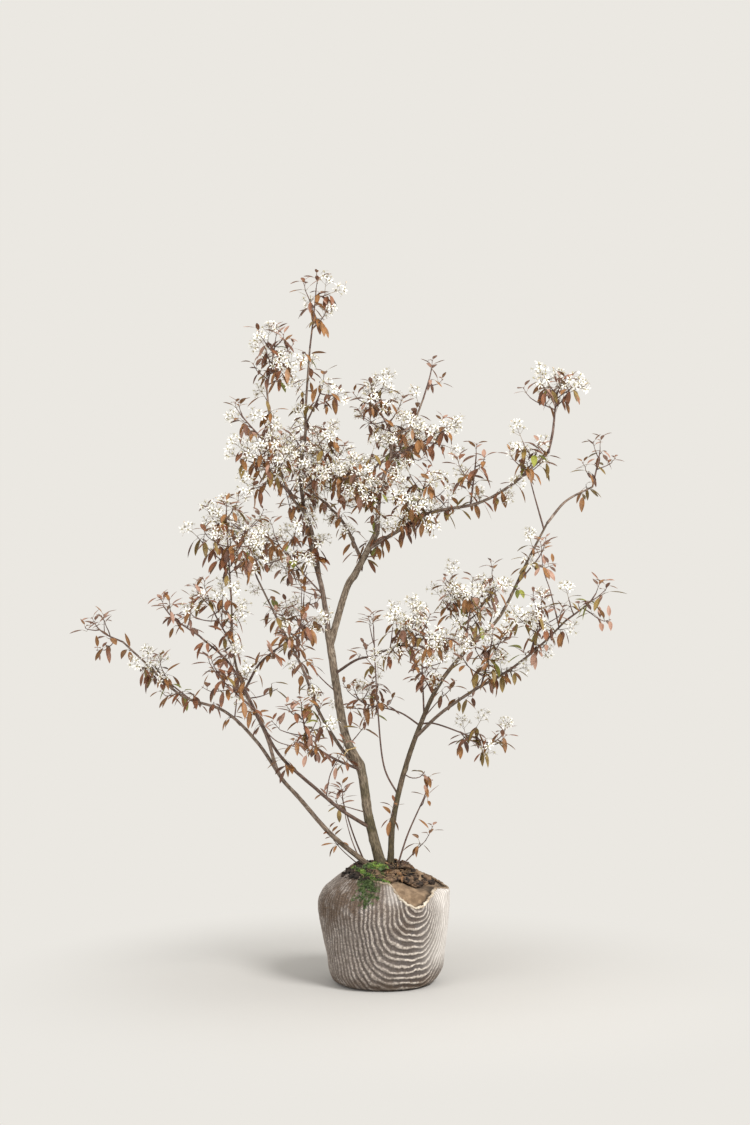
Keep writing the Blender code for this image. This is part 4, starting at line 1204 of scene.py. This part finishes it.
def rib_count(turn, height):
    """Ribs counted outwards from below the tear: hanging bows there, and upright beside it."""
    off = angle_from(TEAR_TURN, turn)
    crowded = RIBS_CROWD * ramp(off, 0, 0.55) * (1 - ramp(off, 0.55, math.pi))
    aside = (abs(off) + crowded) / math.pi * RIBS_ROUND / 2
    below = max(0.0, TEAR_HEIGHT - height) / RIB_DROP
    bend = RIB_BEND + RIB_BEND_MORE * min(1.0, math.hypot(aside, below) / RIBS_TO_SQUARE)
    return (aside ** bend + below ** bend) ** (1 / bend)


def below_tear(turn):
    """How near a turn is to the middle of the tear, as a share."""
    return bell(angle_from(TEAR_TURN, turn) * RIB_ROUND, 0, SWAG_SPREAD)


def hanging_at(turn, height):
    """How much the ribs hang in open bows: fully below the tear, and less to either side."""
    return below_tear(turn) * ramp(TEAR_HEIGHT - height, -0.02, 0.05)


def cloth_relief(turn, height):
    """How high the knit stands at a place, and its ridge from 0 to 1, lowered in the stitches' hollows as
    painted shade.
    """
    count = rib_count(turn, height) + 0.42 * noise.noise(Vector((turn * 5, height * 22, 0)))
    count += 0.12 * noise.noise(Vector((turn * 20, height * 70, 4)))
    keen = 1.0 + 1.3 * below_tear(turn)
    ridge = (0.5 + 0.5 * math.cos(math.tau * count)) ** keen
    high = RIB_HIGH + (RIB_SWAG_HIGH - RIB_HIGH) * hanging_at(turn, height)
    high *= 1 - 0.5 * bell(turn, PULLED_FLAT, math.radians(20))
    distance = turn * RIB_ROUND
    stitch = (math.cos(math.tau * (distance + height) / STITCH)
              * math.cos(math.tau * (distance - height) / STITCH))
    crumple = 0.0016 * noise.noise(Vector((turn * 7, height * 30, 5)))
    return high * (ridge - 0.55) + STITCH_HIGH * stitch + crumple, ridge * (1 - 0.40 * (stitch < 0))


def stain_at(turn, height, x):
    """Soil worked into the cloth: the left shoulder, round the foot and under the tear."""
    shoulder = 1.4 * bell(turn, math.radians(-125), math.radians(22)) * bell(height, 0.278, 0.048)
    shoulder += 0.95 * bell(turn, math.radians(-154), math.radians(18)) * bell(height, 0.235, 0.060)
    foot = ramp(height, 0.060, 0.008)
    seep = 0.45 * bell(turn, math.radians(-70), math.radians(16)) * bell(height, 0.215, 0.05)
    behind = 0.55 * bell(abs(turn), math.pi * 0.62, 0.5) * ramp(height, 0.21, 0.31)
    spread = 0.16 + 0.10 * noise.noise(Vector((x * 9, height * 9, turn)))
    return min(1.0, shoulder + 0.70 * foot + seep + behind + spread)


def bleached_at(turn, height):
    """Where the sun has paled the cloth: its right side, and a little left of the tear."""
    side = bell(turn, math.radians(-16), math.radians(27)) * ramp(height, 0.03, 0.11)
    above = 0.55 * bell(turn, math.radians(-80), math.radians(9)) * bell(height, 0.294, 0.028)
    return max(side, above)


def add_wrap():
    """The knitted cloth from the ball's foot up to its uneven edge, whose points it returns."""
    corners, values, rim = [], [], []
    for side in range(CLOTH_SIDES):
        turn = math.tau * side / CLOTH_SIDES - math.pi
        edge = cloth_edge(turn) + 0.0018 * noise.noise(Vector((math.cos(turn), math.sin(turn), 0)) * 6)
        for row in range(CLOTH_ROWS + 1):
            share = row / CLOTH_ROWS
            radius, height = on_cloth(turn, share, edge)
            relief, ridge = cloth_relief(turn, height)
            lip = 0.004 * ramp(share, 0.93, 1.0) * (1 + noise.noise(Vector((turn * 4, 0, 9))))
            corner = polar(turn, radius + relief * ramp(height, 0.0, 0.012) + lip, height)
            corners.append(corner)
            values.append((ridge, stain_at(turn, height, corner.x), bleached_at(turn, height),
                           hanging_at(turn, height)))
        rim.append(corner)
    rows = CLOTH_ROWS + 1
    faces = []
    for side in range(CLOTH_SIDES):
        there = (side + 1) % CLOTH_SIDES
        faces += [(side * rows + row, there * rows + row, there * rows + row + 1, side * rows + row + 1)
                  for row in range(CLOTH_ROWS)]
    faces.append(tuple(side * rows for side in reversed(range(CLOTH_SIDES))))
    wrap = mesh_piece("cloth_wrap", corners, faces)
    for name, each in zip(("ridge", "stain", "bleached", "hanging"), zip(*values)):
        carry(wrap, name, each)
    finish_piece(wrap, wrap_material(), BALL)
    return rim


def add_hem(rim):
    """The cloth's edge rolled over along its whole round, uneven as torn and gathered cloth is."""
    corners, torn = [], []
    count = len(rim)
    for place, point in enumerate(rim):
        heading = (rim[(place + 1) % count] - rim[place - 1]).normalized()
        outward = Vector((point.x, point.y, 0)).normalized()
        across = (outward - heading * outward.dot(heading)).normalized()
        fat = HEM_RADIUS * (1 + 0.45 * noise.noise(point * 120) + 0.25 * noise.noise(point * 300))
        corners += ring_about(point, across, heading.cross(across), fat, HEM_SIDES)
        torn += [bell(math.atan2(point.y, point.x), TEAR_TURN + 0.10, math.radians(31))] * HEM_SIDES
    faces = [tuple(corner % len(corners) for corner in face) for face in ring_faces(count + 1, HEM_SIDES)]
    hem = mesh_piece("cloth_hem", corners, faces)
    carry(hem, "torn", torn)
    finish_piece(hem, hem_material(), BALL)


def crack_height(turn):
    """The height of the gap under the clods, dark with painted shade: level at the left and lower towards the
    right.
    """
    return CRACK_HIGH + (CRACK_LOW - CRACK_HIGH) * ramp(math.degrees(turn), -65, -33)


def add_soil():
    """The packed soil inside the cloth, bare at the tear and over the crown, with painted shade under the
    clods.
    """
    turns = [math.tau * side / SOIL_SIDES - math.pi for side in range(SOIL_SIDES)]
    corners, darkened = [], []
    for row in range(SOIL_ROWS + 1):
        point = ball_curve[min(len(ball_curve) - 1, round(row / SOIL_ROWS * (len(ball_curve) - 1)))]
        clear = SOIL_INSIDE * ramp(BALL_CROWN - point.z, -0.01, 0.03)
        for turn in turns:
            rough = 0.0022 * noise.noise(Vector((turn * 9, point.z * 60, 0)))
            rough += 0.0012 * noise.noise(Vector((turn * 30, point.z * 190, 3)))
            gap_height = crack_height(turn) + 0.0025 * noise.noise(Vector((turn * 14, 0, 6)))
            gap = bell(turn, CRACK_TURN, CRACK_SPREAD) * bell(point.z, gap_height, CRACK_TALL)
            reach = ball_radius(turn, point.z, point.x) - clear + rough - CRACK_DEPTH * gap
            corners.append(polar(turn, reach, max(0.004, point.z)))
            # Painted shade in the soil's colour: nearly black in the gap under the clods and just below the
            # cloth's edge
            shaded = 0.85 * bell(point.z, cloth_edge(turn) + 0.001, 0.005)
            darkened.append(min(1.0, max(1.5 * gap, shaded)))
    for ring in range(1, CROWN_RINGS):
        share = 1 - ring / CROWN_RINGS
        for turn in turns:
            reach = BALL_OUTLINE[-1][1] * share
            x, y = reach * math.cos(turn), reach * math.sin(turn)
            rough = 0.005 * noise.noise(Vector((x * 45, y * 45, 2)))
            rough += 0.002 * noise.noise(Vector((x, y, 0)) * 160)
            corners.append((x, y, BALL_CROWN + rough * ramp(1 - share, 0, 0.2)))
            # The crown's soil is darkened about half way towards that near black
            darkened.append(0.55)
    middle = tuple(range(len(corners) - SOIL_SIDES, len(corners)))
    faces = [*ring_faces(SOIL_ROWS + CROWN_RINGS, SOIL_SIDES), foot_face(SOIL_SIDES), middle]
    soil = mesh_piece("packed_soil", corners, faces)
    carry(soil, "darkened", darkened)
    finish_piece(soil, soil_material(), BALL)


def lump_shape():
    """The points and faces of a plain round lump."""
    bm = bmesh.new()
    bmesh.ops.create_icosphere(bm, subdivisions=2, radius=1.0)
    points = [vert.co.copy() for vert in bm.verts]
    faces = [tuple(vert.index for vert in face.verts) for face in bm.faces]
    bm.free()
    return points, faces


LUMP_SHAPE = lump_shape()


def add_lump(target, centre, size, flat, draw):
    """A crumb of soil or a cushion of moss, broken up so that no two are alike."""
    points, faces = LUMP_SHAPE
    shift = Vector([draw.uniform(0, 50) for _ in range(3)])
    stretch = Vector((draw.uniform(0.7, 1.3), draw.uniform(0.7, 1.3), draw.uniform(0.6, 1.0) * flat))
    made = []
    for point in points:
        rough = 1 + 0.55 * noise.noise(point * 1.4 + shift) + 0.22 * noise.noise(point * 4 + shift)
        made.append(centre + Vector([point[axis] * stretch[axis] for axis in range(3)]) * rough * size)
    target.add(made, faces)


def on_ball(turn, height):
    """A place on the ball's surface and the way that it faces."""
    radius = next(point.x for point in ball_curve if point.z >= height - 1e-6)
    rise = ramp(height, 0.235, 0.345)
    facing = polar(turn, 1 - 0.8 * rise, rise).normalized()
    return polar(turn, ball_radius(turn, height, radius), height), facing


def add_cushion(place, facing, size, tone, draw):
    """A low cushion of moss: a dark lump with tufts standing off it all round."""
    add_lump(pile("dark_moss"), place, size * 0.8, 0.7, draw)
    for _ in range(int(60 * size / 0.010)):
        lean = (facing * 0.6 + Vector([draw.gauss(0, 1) for _ in range(3)])).normalized()
        if lean.dot(facing) < -0.1:
            continue
        root = place + lean * size * draw.uniform(0.55, 0.85)
        across = lean.orthogonal().normalized() * draw.uniform(0.0005, 0.0010)
        middle = root + lean * draw.uniform(0.002, 0.004)
        end = middle + (lean + facing * 0.3 - UP * 0.3).normalized() * draw.uniform(0.001, 0.004)
        pile(tone).add([root - across, root + across, middle + across, middle - across, end],
                       [(0, 1, 2, 3), (3, 2, 4)])


def add_moss():
    """Green cushions over the front of the crown, trailing thinly down the left shoulder."""
    draw = random.Random(SEED + MOSS_SEED)
    for _ in range(CROWN_MOSS):
        x, y = draw.gauss(-0.026, 0.018), draw.gauss(-0.074, 0.015)
        if math.hypot(x, y) < 0.096:
            size = draw.uniform(0.005, 0.013)
            tone = "bright_moss" if draw.random() < 0.55 - 4 * abs(x + 0.012) else "dark_moss"
            add_cushion(Vector((x, y, CROWN_TOP)), UP, size, tone, draw)
    for _ in range(TRAILING_MOSS):
        height = draw.triangular(0.255, 0.353, 0.335)
        place, facing = on_ball(math.radians(draw.gauss(-108, 4.0 + 60 * (height - 0.262))), height)
        tone = "bright_moss" if height > 0.330 and draw.random() < 0.35 else "dark_moss"
        add_cushion(place - facing * 0.002, facing, draw.uniform(0.003, 0.008), tone, draw)
    for number in range(EDGE_MOSS):
        turn = math.radians(draw.gauss(-114, 13))
        place, facing = on_ball(turn, cloth_edge(turn))
        place += facing * draw.uniform(0.001, 0.006)
        tone = "dark_moss" if number % 3 else "bright_moss"
        add_cushion(place, facing, draw.uniform(0.004, 0.008), tone, draw)


def add_crumbs():
    """Clods heaped behind the tear, finer crumbs at the left and round the stems."""
    draw = random.Random(SEED + CRUMB_SEED)
    for number in range(CLODS):
        turn = math.radians(draw.uniform(-106, 2))
        low = crack_height(turn) + (0.004 if turn > math.radians(-80) else 0.006)
        height = draw.uniform(low, low + 0.008) if number % 3 == 0 else draw.uniform(low + 0.004, 0.351)
        place, facing = on_ball(turn, height)
        target = pile("soil_crumbs" if number % 4 else "damp_crumbs")
        add_lump(target, place - facing * 0.001, 0.0035 + 0.010 * draw.random() ** 2, 0.8, draw)
    for _ in range(LEFT_CRUMBS):
        turn = math.radians(draw.uniform(-172, -110))
        place, facing = on_ball(turn, draw.triangular(0.322, 0.353, 0.348))
        add_lump(pile("damp_crumbs"), place + facing * 0.002, draw.uniform(0.003, 0.009), 0.8, draw)
    for number in range(CROWN_CRUMBS):
        place = polar(draw.uniform(0, math.tau), 0.088 * math.sqrt(draw.random()), CROWN_TOP)
        target = pile("damp_crumbs" if number % 2 or place.x < -0.04 else "soil_crumbs")
        add_lump(target, place, draw.uniform(0.0025, 0.008), 0.8, draw)
    add_litter(draw)


def add_litter(draw):
    """Dead leaves and straws among the crumbs."""
    for number in range(DEAD_LEAVES):
        if number % 2:
            place, facing = on_ball(math.radians(draw.uniform(-85, -5)), draw.uniform(0.325, 0.350))
        else:
            place, facing = polar(draw.uniform(0, math.tau), draw.uniform(0.02, 0.085), BALL_CROWN), UP
        direction = around(facing, draw.uniform(0, math.tau))
        direction = (direction + facing * draw.uniform(0.0, 0.5)).normalized()
        size = draw.uniform(0.014, 0.030)
        lay_blade(pile("fallen_leaves"), LEAF_BLADE, place + facing * 0.007, frame_of(direction, facing),
                  size, size * 0.5, draw.uniform(-0.2, 0.9), draw.uniform(-0.2, 0.5), draw.uniform(-1, 1))
    for _ in range(STRAWS):
        place, facing = on_ball(math.radians(draw.uniform(-125, -40)), draw.uniform(0.325, 0.352))
        direction = around(facing, draw.uniform(0, math.tau))
        direction = (direction + facing * draw.uniform(0, 0.3)).normalized()
        start = place + facing * 0.008
        tube(pile("straws"), [start, start + direction * 0.018 + UP * 0.002, start + direction * 0.036],
             [0.0008, 0.0007, 0.0004], 5)


def add_twine():
    """A turn of straw-coloured twine round the trunk, and its short loose end."""
    centre = at_height(paths["main_trunk"], TWINE_HEIGHT)
    points = []
    for step in range(TWINE_STEPS + 1):
        turn = math.tau * step / TWINE_STEPS
        points.append(centre + polar(turn, TWINE_ROUND, 0.004 * math.cos(turn)))
    tube(pile("twine"), points, [0.0019] * len(points), 8)
    start = points[TWINE_LOOSE]
    loose = [start, start + Vector((-0.010, -0.006, -0.010)), start + Vector((-0.014, -0.007, -0.026))]
    tube(pile("twine"), loose, [0.0017, 0.0015, 0.0009], 8)


# Light, floor and camera


def add_floor():
    """A pale floor that fades into the backdrop away from the plant."""
    corners = [polar(math.tau * side / FLOOR_SIDES, FLOOR_REACH, -0.0005) for side in range(FLOOR_SIDES)]
    floor = mesh_piece("floor", corners, [tuple(range(FLOOR_SIDES))])
    made = bpy.data.materials.new("pale floor")
    made.use_nodes = True
    tree = made.node_tree
    tree.nodes.clear()
    far = node(tree, "ShaderNodeVectorMath", {0: object_place(tree)}, operation="LENGTH").outputs["Value"]
    colour = blended(tree, spots(tree, 0.3, 0.7, 1.2, 2.0), (0.530, 0.522, 0.508), (0.540, 0.532, 0.518))
    lit = node(tree, "ShaderNodeBsdfDiffuse", {"Color": colour})
    glow = node(tree, "ShaderNodeEmission", {"Color": (*BACKDROP, 1), "Strength": 1.0})
    faded = stepped(tree, far, 0.35, 1.30)
    mixed = node(tree, "ShaderNodeMixShader", {0: faded, 1: lit.outputs[0], 2: glow.outputs[0]})
    node(tree, "ShaderNodeOutputMaterial", {0: mixed.outputs[0]})
    floor.data.materials.append(made)


def add_lamp(name, place, aim, size, power, colour):
    """A round soft lamp that shines from a place towards an aim."""
    light = bpy.data.lights.new(name, "AREA")
    light.shape = "DISK"
    light.size, light.energy, light.color = size, power, colour
    lamp = bpy.data.objects.new(name, light)
    lamp.location = place
    lamp.rotation_euler = (Vector(aim) - Vector(place)).to_track_quat("-Z", "Y").to_euler()
    bpy.context.scene.collection.objects.link(lamp)


def add_stage():
    """The floor, the backdrop, two lamps and a level camera in front."""
    scene = bpy.context.scene
    scene.view_settings.view_transform = "Standard"
    world = bpy.data.worlds.new("backdrop")
    world.use_nodes = True
    background = world.node_tree.nodes["Background"]
    background.inputs[0].default_value = (*BACKDROP, 1)
    background.inputs[1].default_value = 1.0
    scene.world = world
    add_floor()
    for lamp in LAMPS:
        add_lamp(*lamp)
    camera = bpy.data.cameras.new("camera")
    camera.sensor_fit = "VERTICAL"
    camera.sensor_height = SENSOR
    camera.lens = LENS
    holder = bpy.data.objects.new("camera", camera)
    holder.location = CAMERA_PLACE
    holder.rotation_euler = (math.radians(90), 0, 0)
    scene.collection.objects.link(holder)
    scene.camera = holder


# The whole plant

barks = {kind: bark_material(f"{kind} bark", *look) for kind, look in BARK_LOOKS.items()}
for limb in LIMBS:
    add_bark(limb, barks[limb.bark])
for number, mass in enumerate(MASSES):
    grow(mass, random.Random(SEED + number))
for number, name in enumerate(DRESSED):
    dress_limb(name, random.Random(SEED + LIMB_SEED + number))
for number, shoot in enumerate(SHOOTS):
    add_shoot(shoot, random.Random(SEED + SHOOT_SEED + number))

for kind, tones in LEAF_TONES.items():
    piece_of(f"{kind}_leaves", leaf_material(f"{kind} leaf", *tones), SPRAYS)
white = petal_material()
for side in ("left", "right"):
    piece_of(f"petals_{side}", white, SPRAYS)
for name, *look in FOLIAGE_LOOKS:
    piece_of(name, mottled_material(name, *look), SPRAYS)

add_hem(add_wrap())
add_soil()
add_moss()
add_crumbs()
add_twine()
for name, *look in LOOSE_LOOKS:
    piece_of(name, mottled_material(name, *look), BALL, smooth="crumbs" not in name)
piece_of("fallen_leaves", leaf_material("fallen leaf", *DEAD_LEAF_TONES, 0.7), BALL)
piece_of("straws", mottled_material("straws", *STRAW_LOOK), BALL)
piece_of("twine", mottled_material("twine", *TWINE_LOOK), ["main_trunk"])
add_stage()
